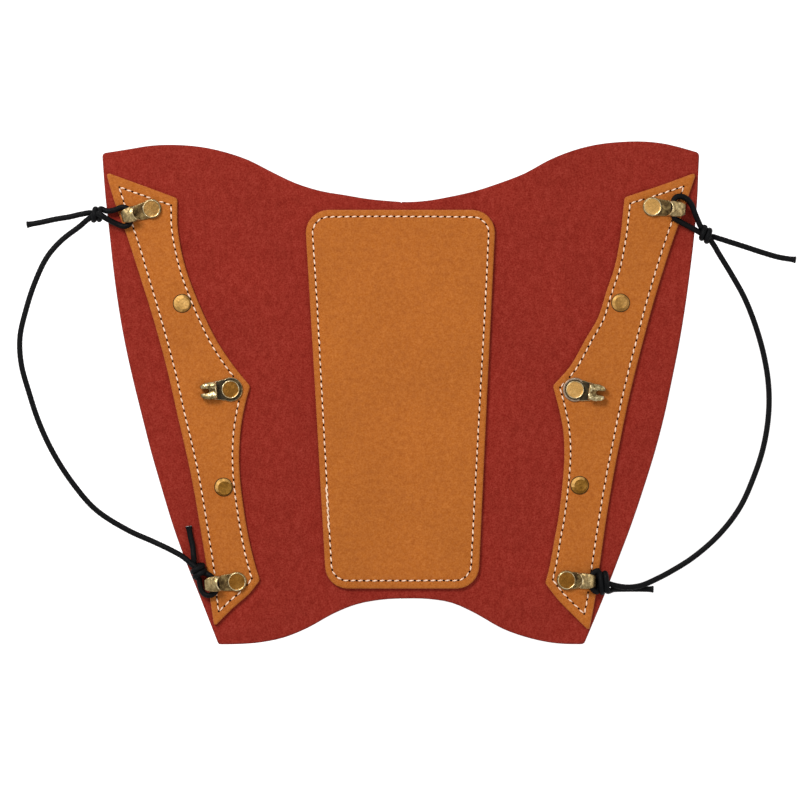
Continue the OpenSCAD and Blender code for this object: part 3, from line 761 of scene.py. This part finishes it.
def stitches(name, node, edges, z, side, body, back=None):
    rr = np.random.RandomState(len(name))
    tops, lows_and_hole_shade = [], []

    def one(at, s0, s1, off=0.0, lift=0.0):
        q = np.linspace(s0, s1, 9)
        xy = at(q)
        d = xy[-1] - xy[0]
        d /= np.linalg.norm(d)
        nrm = np.array((-d[1], d[0]))
        w = np.linspace(-1, 1, 9)
        slant = rr.uniform(0.10, 0.20)
        xy = xy + nrm * (off + slant * w + rr.uniform(-0.05, 0.05))[:, None]
        zz = z - 0.14 + 0.34 * np.sqrt(np.maximum(0, 1 - np.abs(w) ** 2.6)) - 0.3 * (np.abs(w) > 0.97) + lift
        return np.column_stack([xy, zz])

    plan = []
    for S in edges:
        at, t, pitch = along(S, 2.9)
        for s0 in t:
            plan.append([at, s0, pitch, side is None or not blocked(at(np.array([s0 + pitch / 2]))[0], side)])
    for k, (at, s0, pitch, seen) in enumerate(plan):
            hole = at(np.array([s0]))[0]
            if seen:
                g = rr.uniform(0.36, 0.46)
                tops.append(strand(one(at, s0 + g, s0 + pitch - g), 0.30 * rr.uniform(0.92, 1.06), 2, 2.3))
            # a short dark thread sunk in each needle hole on top: painted shade of the hole
            if (seen or plan[k - 1][3]) and (side is None or not blocked(hole, side)):
                a, b = at(np.array([s0 - 0.2, s0 + 0.2]))
                d = (b - a) / (np.linalg.norm(b - a) + 1e-9)
                q = [(*(hole + d * k), z + h) for k, h in ((-0.46, -0.28), (-0.32, -0.12), (-0.16, -0.07), (0, -0.06), (0.16, -0.07), (0.32, -0.12), (0.46, -0.28))]
                lows_and_hole_shade.append(strand(q, 0.38, 2, 1.0, 10, 0.6))
            # the lower thread shows on the underside as the same row
            q = at(np.linspace(s0 + 0.2, s0 + pitch - 0.2, 7))
            w = np.linspace(-1, 1, 7)
            lows_and_hole_shade.append(strand(np.column_stack([q, 0.30 - 0.26 * np.sqrt(np.maximum(0, 1 - np.abs(w) ** 2.4))]), 0.30, 2, 2.3, 8))
            # where the seam starts and ends the thread goes back over itself
            m = at(np.array([s0 + pitch / 2]))[0]
            if back is not None and back[0][0] < m[0] < back[1][0] and back[0][1] < m[1] < back[1][1]:
                if plan[(k + 1) % len(plan)][0] is at and plan[(k + 1) % len(plan)][1] > s0:
                    tops.append(strand(one(at, s0 + pitch * 0.5 + 0.1, s0 + pitch * 1.5 - 0.1, 0.26, 0.1), 0.33, 2, 2.3))
    o = make(name, *gather(tops), [THREAD])
    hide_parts(node)
    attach(o, body)
    b = make(name + "_bobbin_and_hole_shade", *gather(lows_and_hole_shade), [BOBBIN_AND_HOLE_SHADE])
    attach(b, body)


stitches("left_facing_stitches", "left_facing_stitching", seam_parts["left_facing"], FZ - 0.12, "left", "left_wing", ((-78, -93), (-73, -85)))
stitches("right_facing_stitches", "right_facing_stitching", seam_parts["right_facing"], FZ - 0.12, "right", "right_wing")
stitches("patch_stitches", "patch_stitching", seam_parts["centre_patch"], PT + KT - 0.12, None, "centre", ((-31, -57.5), (-26, -40)))

# ---------------------------------------------------------------- hooks
def bend_map(path):
    """path: list of (u, z) points, first at s = 0 below the rivet. Returns f(s) -> point and up normal."""
    P = np.array(path, float)
    s = np.concatenate([[0], np.cumsum(np.linalg.norm(np.diff(P, axis=0), axis=1))])
    def f(x):
        y = np.clip(x, 0, s[-1])
        u = np.interp(y, s, P[:, 0]) + np.minimum(x, 0) 
        z = np.interp(y, s, P[:, 1])
        h = 0.15
        u1, z1 = np.interp(np.clip(y + h, 0, s[-1]), s, P[:, 0]), np.interp(np.clip(y + h, 0, s[-1]), s, P[:, 1])
        u0, z0 = np.interp(np.clip(y - h, 0, s[-1]), s, P[:, 0]), np.interp(np.clip(y - h, 0, s[-1]), s, P[:, 1])
        tu, tz = u1 - u0, z1 - z0
        n = np.hypot(tu, tz) + 1e-9
        over = x - s[-1]
        u = np.where(over > 0, u + over * tu / n, u)
        z = np.where(over > 0, z + over * tz / n, z)
        return u, z, -tz / n, tu / n
    return f, s[-1]


def lace_path(R, H, t):
    r = H / 2 - t / 2
    c = R - H / 2
    P = [(u, t / 2) for u in np.linspace(0, c - 1.2, 14)]
    P += [(c - 1.2 + 1.2 * k / 4, t / 2 + 0.02 * k) for k in range(1, 4)]
    for k in range(0, 13):
        a = math.pi * k / 12
        P.append((c + r * math.sin(a) * 1.0, H / 2 - r * math.cos(a)))
    return P, c, r


def step01(x):
    x = np.clip(x, 0, 1)
    return x * x * (3 - 2 * x)


def hook_piece(name, node, spot, kind):
    """A stamped hook: its flat blank is cut out, bent up and back over itself, then worn along its edges; its lip and
    edges carry painted highlight lines, and its base and the head's underside painted shade.
    """
    x, y, ang, R = spot
    lock = kind == "lock"
    t = 0.8
    H = 3.8 if lock else 5.2
    P, c, r = lace_path(R, H, t)
    P += [(c - d, H - t / 2 + (0.05 if lock else 0.03) * d) for d in np.linspace(0.3, 7, 18)]
    f, smax = bend_map(P)
    arc0, arc1 = c, c + math.pi * r
    tip = (arc0 + arc1) / 2
    rr = np.random.RandomState(int(abs(x * 7 + y)))
    if not lock:
        rho, wl = 3.2, 3.1
        u0 = LIP[name[:-11]] - rho
        side = []
        for s in np.arange(2.3, arc1 + c - u0 - 0.5, 0.22):
            a = 3.4 - 0.3 * step01((s - 2.3) / 4.0) - 1.1 * math.exp(-((s - tip) / 2.5) ** 2)
            if s > arc1:
                a = max(a, 2.62 + (wl - 2.62) * step01((s - arc1 + 0.6) / 3.2))
            side.append((s, a))
        lip = [(arc1 + (c - u0 - math.sqrt(max(0, rho * rho - v * v))), v) for v in np.linspace(wl, -wl, 41)]
        side = [q for q in side if q[0] < lip[0][0] - 0.15]
        disc_r, a0 = 3.9, math.asin(3.4 / 3.9)
        holes = []
    else:
        end = arc1 + (c - 5.35)
        side = []
        for s in np.arange(3.0, end - 0.3, 0.2):
            if s < arc0 - 1.5:
                a = 3.75 + 0.45 * (1 - step01((s - 2.6) / 2.6)) - 0.35 * step01((s - 5) / 3)
            else:
                a = 3.48
            if s > arc0 - 1.5:
                a = 3.42 + 0.08 * math.sin((s - arc1) * 0.9)
            a -= 1.0 * math.exp(-((s - tip) / 2.0) ** 2)
            side.append((s, a))
        side += [(end - 0.14, 3.3), (end - 0.03, 3.16)]
        lip = [(end, v) for v in np.linspace(3.0, -3.0, 15)]
        disc_r = 4.8
        a0 = math.asin(side[0][1] / disc_r)
        w = 0.92
        s_a, s_b = arc0 - 0.9, arc1 + (c - 8.5) - w
        slot = [(s_b + 1.25 * w * math.cos(a), w * math.sin(a)) for a in np.linspace(-math.pi / 2, math.pi / 2, 13)]
        slot += [(s_a + w * math.cos(a), w * math.sin(a)) for a in np.linspace(math.pi / 2, 1.5 * math.pi, 13)]
        holes = [np.array(slot)]
    disc = [(disc_r * math.cos(a), disc_r * math.sin(a)) for a in np.linspace(2 * math.pi - a0, a0, 64)]
    disc = [q for q in disc if q[0] < side[0][0] - 0.1]
    L = np.array(side + lip + [(s, -v) for s, v in side[::-1]] + disc)
    if np.sum(L[:, 0] * np.roll(L[:, 1], -1) - np.roll(L[:, 0], -1) * L[:, 1]) < 0:
        L = L[::-1]
    pl = plate(L, t, [0.08, 0.2, 0.36, 0.6, 0.9], 0.4, 0.3, 0.34, 0.34, holes=holes)
    V = pl["xy"]
    s, v = V[:, 0], V[:, 1]
    u, z, nu, nz = f(s)
    up = step01((s - arc1 + 1.2) / 2.0)
    if not lock:
        z = z - up * 0.06 * v * v
        z = z - 2.1 * step01((u0 + rho + 0.6 - u) / 3.1) * (s > arc1) * (np.abs(v) / 3.1) ** 2.2
    else:
        z = z - up * 0.05 * v * v
    # lumps and dents of the rough casting
    ph = rr.uniform(0, 6.28, 6)
    lump = (np.sin(2.1 * s + ph[0]) * np.sin(2.4 * v + ph[1]) + 0.7 * np.sin(3.7 * s + ph[2] + v) * np.sin(3.3 * v + ph[3]) + 0.5 * np.sin(6.1 * s + ph[4]) * np.sin(5.3 * v + ph[5]))
    if lock:
        relief = up * (0.34 * np.exp(-((np.abs(v) - 2.2) / 0.75) ** 2) - 0.42 * np.exp(-(v / 1.0) ** 2) * step01((u - 6.0) / 0.8) + 0.085 * lump)
        relief += up * 0.32 * np.exp(-((u - 5.75) / 0.42) ** 2)
    else:
        relief = up * (0.03 * lump + 0.14 * np.exp(-((u - 9.6) ** 2 + v * v) / 2.6))
        # the lip is turned up a little, with a shallow step behind it
        gap = np.hypot(u - u0, v) - rho
        relief += up * (s > arc1 - 0.5) * (0.26 * np.exp(-(gap / 0.42) ** 2) - 0.12 * np.exp(-((gap - 1.2) / 0.5) ** 2))
    rim = np.clip(pl["d"] / 0.3, 0, 1)
    out = []
    ca, sa = math.cos(math.radians(ang)), math.sin(math.radians(ang))
    for h, k in ((pl["top"], 0), (pl["bot"], 1)):
        hh = h - (relief * rim if k else 0)
        X, Z = u + nu * hh, z + nz * hh
        out.append(np.column_stack([x + X * ca - v * sa, y + X * sa + v * ca, FZ + Z]))
    F = pl["faces"]
    n = pl["ntri"]
    T = np.array(F[:n])
    sm, dm = s[T].mean(1), pl["d"][T].mean(1)
    um = u[T].mean(1)
    vm = v[T].mean(1)
    # the blank's upper face, which faces down under the head: its base around the cap and the head's underside are
    # painted shade (oxide-and-shade brass on lock hooks, painted-shade brass on lacing hooks), apart from the base's
    # worn edge
    base, head = sm < arc0 + 0.4, sm > arc0 + 0.2
    top = np.where(base & (dm < 0.22), 0 if lock else 2, 1 if lock else 3)
    if name.startswith("right_lock"):
        top = np.where(base & (np.hypot(sm, vm) > 4.05) & (sm < 2.4), 5, top)
    if lock:
        # the pit beside the lock slot is painted shade, and the head's inner ridge a painted highlight line
        pit_shade = (np.abs(vm) < 0.85 + 0.25 * np.sin(5 * um + ph[0])) & (um > 6.3 + 0.3 * np.sin(4 * vm)) & (dm > 0.12)
        ridge_highlight = (um < 5.85) & (sm > arc1)
        bot = np.where(head, np.where(pit_shade & (sm > arc1 - 0.5), 3, np.where(ridge_highlight, 0, 4)), 1)
    else:
        # a painted highlight line along the lacing hook's lip
        lip_highlight = (sm > arc1) & (np.hypot(um - u0, vm) < rho + 0.48)
        bot = np.where(head, np.where(lip_highlight, 0, 2), 1)
    nv = len(V)
    sides = []
    # the lacing heads' cut edges get the worn brass as a painted highlight; the lock heads' edges get the cast brass
    for fa in F[2 * n:]:
        k = fa[0] % nv
        sides.append((4 if lock else 0) if s[k] > arc1 else 2)
    o = make(name, np.vstack(out), F, [BRASS_WORN_AND_HIGHLIGHT, BRASS_OXIDE_AND_SHADE, BRASS, BRASS_PAINTED_SHADE, BRASS_CAST, BRASS_ROSE], list(top) + list(bot) + sides)
    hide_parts(node)
    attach(o, node.split("_")[0] + "_wing")
    return o


for n, spot in RIVETS.items():
    hook_piece(f"{n}_hook_brass", f"{n}_hook", spot, "lock" if "lock" in n else "lace")


def lathe(name, node, places, profile, body, mats, seg=64, lean=(0, 0), lit_arc=None):
    """Turned caps at the places given. profile: (radius, height, material index) from the post up to the middle."""
    V, F, idx = [], [], []
    for k0, (x, y) in enumerate(places):
        b = len(V)
        m = len(profile)
        rs_ = np.random.RandomState(int(abs(x * 10)) + k0)
        ph = rs_.uniform(0, 6.28, 4)
        for i in range(seg):
            a = 2 * math.pi * i / seg
            for r, z, q in profile:
                dent = 0.010 * r * math.sin(3 * a + ph[0] + r) + 0.007 * r * math.sin(7 * a + ph[1] - 2 * r) + 0.006 * r * math.sin(11 * a + ph[2] + 3 * r)
                wob = 1 + (0.008 * math.sin(2 * a + ph[3]) + 0.004 * math.sin(5 * a + ph[1])) * (r > 2)
                # a hammered head's flat sits a little off its middle
                k1 = step01((3.3 - r) / 0.8) * (z > FZ + 0.3)
                V.append((x + lean[0] * k1 + r * wob * math.cos(a), y + lean[1] * k1 + r * wob * math.sin(a), z + (dent if (z > FZ + 0.1 or z < 0.3) and r > 0.2 else 0)))
        for i in range(seg):
            j = (i + 1) % seg
            for k in range(m - 1):
                F.append((b + i * m + k, b + j * m + k, b + j * m + k + 1, b + i * m + k + 1))
                q = profile[k + 1][2]
                # bevel faces inside lit_arc, in degrees, get material 3: a painted highlight on the side the key light
                # comes from
                if lit_arc and q == 1:
                    q = 3 if (math.degrees(2 * math.pi * (i + 0.5) / seg) - lit_arc[0]) % 360 < lit_arc[1] - lit_arc[0] else 1
                idx.append(q)
        F.append(tuple(b + i * m for i in range(seg))[::-1])
        F.append(tuple(b + i * m + m - 1 for i in range(seg)))
        idx += [profile[0][2], profile[-1][2]]
    V = [(p[0], p[1], max(p[2], 0.005)) for p in V]
    o = make(name, V, F, mats, idx)
    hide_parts(node)
    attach(o, body)
    return o


zc = FZ + 0.8
# hook rivet cap: material 2 on its side and foot is painted shade (oxide-and-shade brass), material 1 the rim's painted
# highlight on worn brass, material 0 the flat face
flat_cap = [(1.45, 0.5, 2), (1.45, zc + 0.1, 2), (3.05, zc + 0.1, 2), (3.2, zc + 0.18, 2), (3.3, zc + 0.32, 2), (3.42, zc + 0.5, 2), (3.52, zc + 0.7, 2), (3.56, zc + 0.86, 1),
    (3.55, zc + 0.98, 1), (3.49, zc + 1.07, 1), (3.4, zc + 1.11, 1), (3.3, zc + 1.11, 1), (3.2, zc + 1.06, 1), (3.12, zc + 0.99, 0), (3.02, zc + 0.95, 0),
    (2.8, zc + 0.94, 0), (2.3, zc + 0.95, 0), (1.7, zc + 0.96, 0), (1.1, zc + 0.97, 0), (0.5, zc + 0.97, 0), (0.08, zc + 0.97, 0)]
def dome_cap(rt, dish):
    """Low hammered head: a foot painted dark as contact shade, a bevel up to radius rt painted bright on its lit side,
    then a nearly flat middle with a small ring.
    """
    P = [(1.45, 0.5, 2), (1.45, FZ, 2), (3.6, FZ - 0.05, 2), (3.74, FZ + 0.04, 2), (3.66, FZ + 0.14, 2), (3.46, FZ + 0.2, 2), (3.47, FZ + 0.34, 1), (3.42, FZ + 0.48, 1), (3.33, FZ + 0.57, 1),
        (3.2, FZ + 0.63, 1)]
    P += [(3.2 + (rt - 3.2) * k, FZ + 0.63 + 0.44 * k, 1) for k in (0.3, 0.6, 0.88)]
    P += [(rt - 0.04, FZ + 1.08, 0), (rt - 0.16, FZ + 1.08 - 0.4 * dish, 0), (rt - 0.4, FZ + 1.08 - 0.9 * dish, 0), (rt * 0.62, FZ + 1.08 - dish, 0)]
    P += [(rt * 0.45, FZ + 1.08 - 0.8 * dish, 0), (rt * 0.3, FZ + 1.08 - 0.2 * dish, 0), (rt * 0.16, FZ + 1.07 - 0.5 * dish, 0), (0.08, FZ + 1.05 - 0.9 * dish, 0)]
    return P


# the last entry of each head is the arc of its bevel, in degrees, painted as a highlight on the lit side
HEADS = {"left_upper": (2.2, 0.03, (0.5, -0.12), "light", (85, 262)), "left_lower": (2.6, 0.02, (0.5, -0.4), "old", (28, 212)),
    "right_upper": (2.35, 0.10, (0.2, 0.1), "mid", (60, 232)), "right_lower": (2.3, 0.12, (0.3, 0.0), "old", (52, 190))}
back_cap = [(0.08, 0.5, 2), (1.5, 0.5, 2), (3.35, 0.5, 2), (3.47, 0.46, 1), (3.5, 0.36, 1), (3.46, 0.2, 1), (3.34, 0.08, 1), (3.1, 0.03, 0), (2.4, 0.04, 0), (1.4, 0.06, 0), (0.08, 0.07, 0)]
TONES = {"left_top": CAP, "right_top": CAP_LIGHT, "right_lock": CAP_LIGHT}
for n, p in RIVETS.items():
    lathe(f"{n}_hook_rivet_brass", f"{n}_hook_rivet", [p[:2]], flat_cap, n.split("_")[0] + "_wing", [TONES.get(n, CAP_OLD), BRASS_WORN_AND_HIGHLIGHT, BRASS_OXIDE_AND_SHADE])
for n, p in PLAIN.items():
    rt, dish, lean, tone, lit_arc = HEADS[n]
    # material 3 of each set is the painted highlight on the bevel's lit side
    tones = {"light": [RIV_PALE_AND_HIGHLIGHT, RIV_MID, BRASS_OXIDE_AND_SHADE, RIV_PALE_AND_HIGHLIGHT], "mid": [RIV_MID, RIV_MID, BRASS_OXIDE_AND_SHADE, RIV_PALE_AND_HIGHLIGHT], "old": [RIV_OLD, RIV_OLD, BRASS_OXIDE_AND_SHADE, RIV_PALE_AND_HIGHLIGHT]}[tone]
    lathe(f"{n}_rivet_brass", f"{n}_rivet", [p], dome_cap(rt, dish), n.split("_")[0] + "_wing", tones, lean=lean, lit_arc=lit_arc)
for side in ("left", "right"):
    pts = [p[:2] for n, p in list(RIVETS.items()) + list(PLAIN.items()) if n.startswith(side)]
    lathe(f"{side}_rivet_backs_brass", f"{side}_rivet_backs", pts, back_cap, f"{side}_wing", [CAP_OLD, CAP, BRASS_OXIDE_AND_SHADE])

# ---------------------------------------------------------------- cords
D = 2.2


def knot_path(K, axis, turns, pitch, ry, rz, phase, hand=1):
    """Points of the strand that wraps the knot, from its inner (eye) end to its outer end."""
    ax = np.array((axis[0], axis[1], 0.0))
    ax /= np.linalg.norm(ax)
    lat = np.array((-ax[1], ax[0], 0.0))
    up = np.array((0, 0, 1.0))
    K = np.array(K)
    n = int(turns * 10)
    L = turns * pitch
    return [K + ax * (-L / 2 + L * k / n) + lat * ry * math.cos(hand * 2 * math.pi * turns * k / n + phase)
        + up * rz * math.sin(hand * 2 * math.pi * turns * k / n + phase) for k in range(n + 1)]


def cord_path(name):
    if name == "left":
        run = [(-128.0, 66.4, 1.3), (-135.5, 60.6, 1.15), (-141.2, 54, 1.15), (-146.0, 44, 1.15), (-149.6, 33, 1.15),
            (-152.0, 22, 1.15), (-151.5, 11.5, 1.15), (-148.4, 0, 1.15), (-144.4, -12, 1.15), (-138.8, -24, 1.15), (-131.1, -36, 1.15),
            (-121.8, -46.7, 1.15), (-109, -54.9, 1.15), (-99, -59.4, 1.6), (-92.5, -62.4, 3.1), (-87, -65.4, 3.9)]
        k1 = knot_path((-121.4, 71.0, 3.3), (-1, -0.1), 1.75, 2.2, 2.15, 2.1, 2.8, -1)
        tail = [(-149.2, 66.9, 1.15), (-144, 67.8, 1.15), (-138, 69.1, 1.15), (-132, 70.1, 1.2), (-127.6, 71.1, 1.5)]
        eye = [(-117.2, 72.3, 4.3), (-114.0, 72.7, 5.2), (-110.9, 73.8, 6.1), (-108.9, 73.1, 6.5), (-107.9, 70.9, 6.6), (-107.6, 68.7, 6.5),
            (-108.4, 66.9, 6.2), (-110.4, 66.2, 5.6), (-112.6, 66.9, 5.1), (-115.0, 68.0, 5.6), (-117.6, 69.4, 6.7), (-119.9, 70.9, 6.7)]
        k2 = knot_path((-80.7, -70.8, 5.4), (-0.34, 0.94), 1.75, 2.15, 2.25, 2.05, 0.4)
        eye2 = [(-80.6, -74.2, 5.0), (-80.0, -77.2, 4.6), (-79.0, -79.6, 4.7), (-77.0, -80.8, 5.2), (-74.7, -80.2, 5.9), (-73.5, -78.5, 6.4),
            (-73.5, -76.3, 6.6), (-74.5, -74.3, 6.5), (-76.1, -72.9, 6.2), (-78.0, -71.8, 5.7)]
        tail2 = [(-82.6, -65.4, 4.9), (-83.0, -61.5, 3.8), (-83.9, -57.5, 3.4), (-84.6, -53.4, 3.35)]
        # tail, wraps of the upper knot, eye, through the knot, run, through the lower knot, eye, wraps, tail
        P = tail + [tuple(p) for p in k1[::-1]] + eye + [(-121.7, 71.0, 4.6), (-123.4, 70.0, 3.0), (-125.4, 68.6, 2.2)] + run
        P += [(-83.8, -68.0, 4.7), (-81.3, -69.9, 5.4), (-79.6, -71.0, 5.5)] + eye2[::-1] + [tuple(p) for p in k2] + tail2
    else:
        run = [(126.9, 55.2, 1.3), (131.9, 47, 1.15), (136.9, 38, 1.15), (141.3, 27, 1.15), (144.7, 15, 1.15),
            (146.6, 3, 1.15), (146.6, -9, 1.15), (144.5, -22, 1.15), (140.6, -34, 1.15), (135.1, -46, 1.15), (126.8, -56.8, 1.15), (116.8, -65.6, 1.15),
            (107.8, -71.3, 1.3), (101.6, -74.5, 2.3), (95.8, -76.9, 3.4), (90.4, -77.6, 4.6)]
        k1 = knot_path((121.7, 62.9, 3.3), (0.86, -0.51), 1.75, 2.3, 2.2, 2.1, 0.15)
        tail = [(157.4, 52.9, 1.15), (151, 53.9, 1.15), (144, 55.9, 1.15), (137, 58.2, 1.15), (131, 60.1, 1.2), (127.2, 61.3, 1.5)]
        eye = [(119.8, 65.8, 3.6), (118.4, 68.4, 4.0), (117.2, 71.2, 4.4), (115.8, 74.6, 4.9), (114.3, 76.7, 5.2), (112.1, 78.0, 5.6), (109.8, 77.9, 6.0),
            (108.6, 76.5, 6.4), (108.6, 73.8, 6.6), (108.5, 71.3, 6.6), (108.9, 69.4, 6.2), (110.8, 68.2, 5.5), (113.6, 66.7, 4.9), (116.5, 65.2, 4.3), (119.2, 63.7, 3.6)]
        k2 = knot_path((80.4, -75.8, 5.5), (1, 0.0), 1.6, 2.15, 3.85, 2.1, -1.2)
        eye2 = [(78.4, -71.0, 6.1), (76.9, -71.6, 6.4), (75.9, -73.0, 6.6), (75.6, -75.1, 6.6), (75.8, -77.2, 6.6), (76.7, -78.7, 6.4), (78.0, -79.4, 6.1)]
        tail2 = [(84.9, -78.5, 3.2), (89.6, -78.4, 1.9), (95, -78.4, 1.2), (100.6, -78.5, 1.15)]
        P = tail + [tuple(p) for p in k1[::-1]] + eye + [(122.0, 62.2, 3.3), (124.4, 59.3, 2.3)] + run
        P += [(85.4, -76.9, 5.1), (81.6, -75.6, 5.5), (78.8, -73.4, 5.8)] + eye2 + [tuple(p) for p in k2] + tail2
    return P


def spline(P, step):
    """Centripetal Catmull-Rom curve through P, at an even step."""
    P = [np.array(p, float) for p in P]
    P = [2 * P[0] - P[1]] + P + [2 * P[-1] - P[-2]]
    out = []
    for i in range(1, len(P) - 2):
        p0, p1, p2, p3 = P[i - 1:i + 3]
        t0 = 0
        t1 = t0 + np.linalg.norm(p1 - p0) ** 0.5
        t2 = t1 + np.linalg.norm(p2 - p1) ** 0.5
        t3 = t2 + np.linalg.norm(p3 - p2) ** 0.5
        for t in np.linspace(t1, t2, 12, endpoint=False):
            a1 = (t1 - t) / (t1 - t0) * p0 + (t - t0) / (t1 - t0) * p1
            a2 = (t2 - t) / (t2 - t1) * p1 + (t - t1) / (t2 - t1) * p2
            a3 = (t3 - t) / (t3 - t2) * p2 + (t - t2) / (t3 - t2) * p3
            b1 = (t2 - t) / (t2 - t0) * a1 + (t - t0) / (t2 - t0) * a2
            b2 = (t3 - t) / (t3 - t1) * a2 + (t - t1) / (t3 - t1) * a3
            out.append((t2 - t) / (t2 - t1) * b1 + (t - t1) / (t2 - t1) * b2)
    out.append(P[-2])
    return resample(np.array(out), step, closed=False)


def braid_tube(name, P, d, seg=32, mat=CORD):
    P = np.array(P)
    T = np.gradient(P, axis=0)
    T /= np.linalg.norm(T, axis=1)[:, None]
    # frames carried along without twist
    A = np.empty_like(P)
    a = np.cross(T[0], (0, 0, 1.0))
    a /= np.linalg.norm(a)
    for i in range(len(P)):
        a = a - T[i] * (a @ T[i])
        a /= np.linalg.norm(a)
        A[i] = a
    B = np.cross(T, A)
    s = np.concatenate([[0], np.cumsum(np.linalg.norm(np.diff(P, axis=0), axis=1))])
    S = s[-1]
    th = 2 * np.pi * np.arange(seg) / seg
    lay = 2 * math.pi / 3.4
    g1 = np.cos(8 * th[None] - 8 * lay * s[:, None] / 4)
    g2 = np.cos(8 * th[None] + 8 * lay * s[:, None] / 4)
    rel = np.maximum(g1, g2)
    flare = 1 + 0.22 * np.exp(-(s / 1.1) ** 2) + 0.22 * np.exp(-((S - s) / 1.1) ** 2)
    rad = d / 2 * flare[:, None] * (0.985 + 0.062 * rel)
    V = P[:, None] + rad[..., None] * (A[:, None] * np.cos(th)[None, :, None] + B[:, None] * np.sin(th)[None, :, None])
    V[..., 2] = np.maximum(V[..., 2], 0.02)
    n = len(P)
    V = V.reshape(-1, 3).tolist()
    F = [(i * seg + k, i * seg + (k + 1) % seg, (i + 1) * seg + (k + 1) % seg, (i + 1) * seg + k) for i in range(n - 1) for k in range(seg)]
    idx = [0] * len(F)
    # melted ends: a rim ring, a sunk ring and a middle point
    for end in (0, n - 1):
        c, t = P[end], T[end] * (-1 if end == 0 else 1)
        prev = [end * seg + k for k in range(seg)]
        for q, push in ((0.86, 0.22), (0.6, 0.18), (0.3, 0.05)):
            b = len(V)
            for k in range(seg):
                wob = 1 + 0.07 * math.sin(3 * th[k] + end) + 0.04 * math.sin(5 * th[k])
                p = c + t * push * wob + (A[end] * math.cos(th[k]) + B[end] * math.sin(th[k])) * d / 2 * 1.2 * q
                V.append([p[0], p[1], max(p[2], 0.03)])
            ring = [b + k for k in range(seg)]
            for k in range(seg):
                f = (prev[k], prev[(k + 1) % seg], ring[(k + 1) % seg], ring[k])
                F.append(f[::-1] if end == 0 else f)
                idx.append(1)
            prev = ring
        F.append(tuple(prev) if end != 0 else tuple(prev[::-1]))
        idx.append(1)
    o = make(name, V, F, [mat, MELT], idx)
    return o, S


for side in ("left", "right"):
    P = spline(cord_path(side), 0.28)
    o, S = braid_tube(f"{side}_elastic_cord", P, D)
    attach(o, f"{side}_wing")
    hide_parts(f"{side}_cord", f"{side}_top_knot", f"{side}_bottom_knot")
    e = P[0]

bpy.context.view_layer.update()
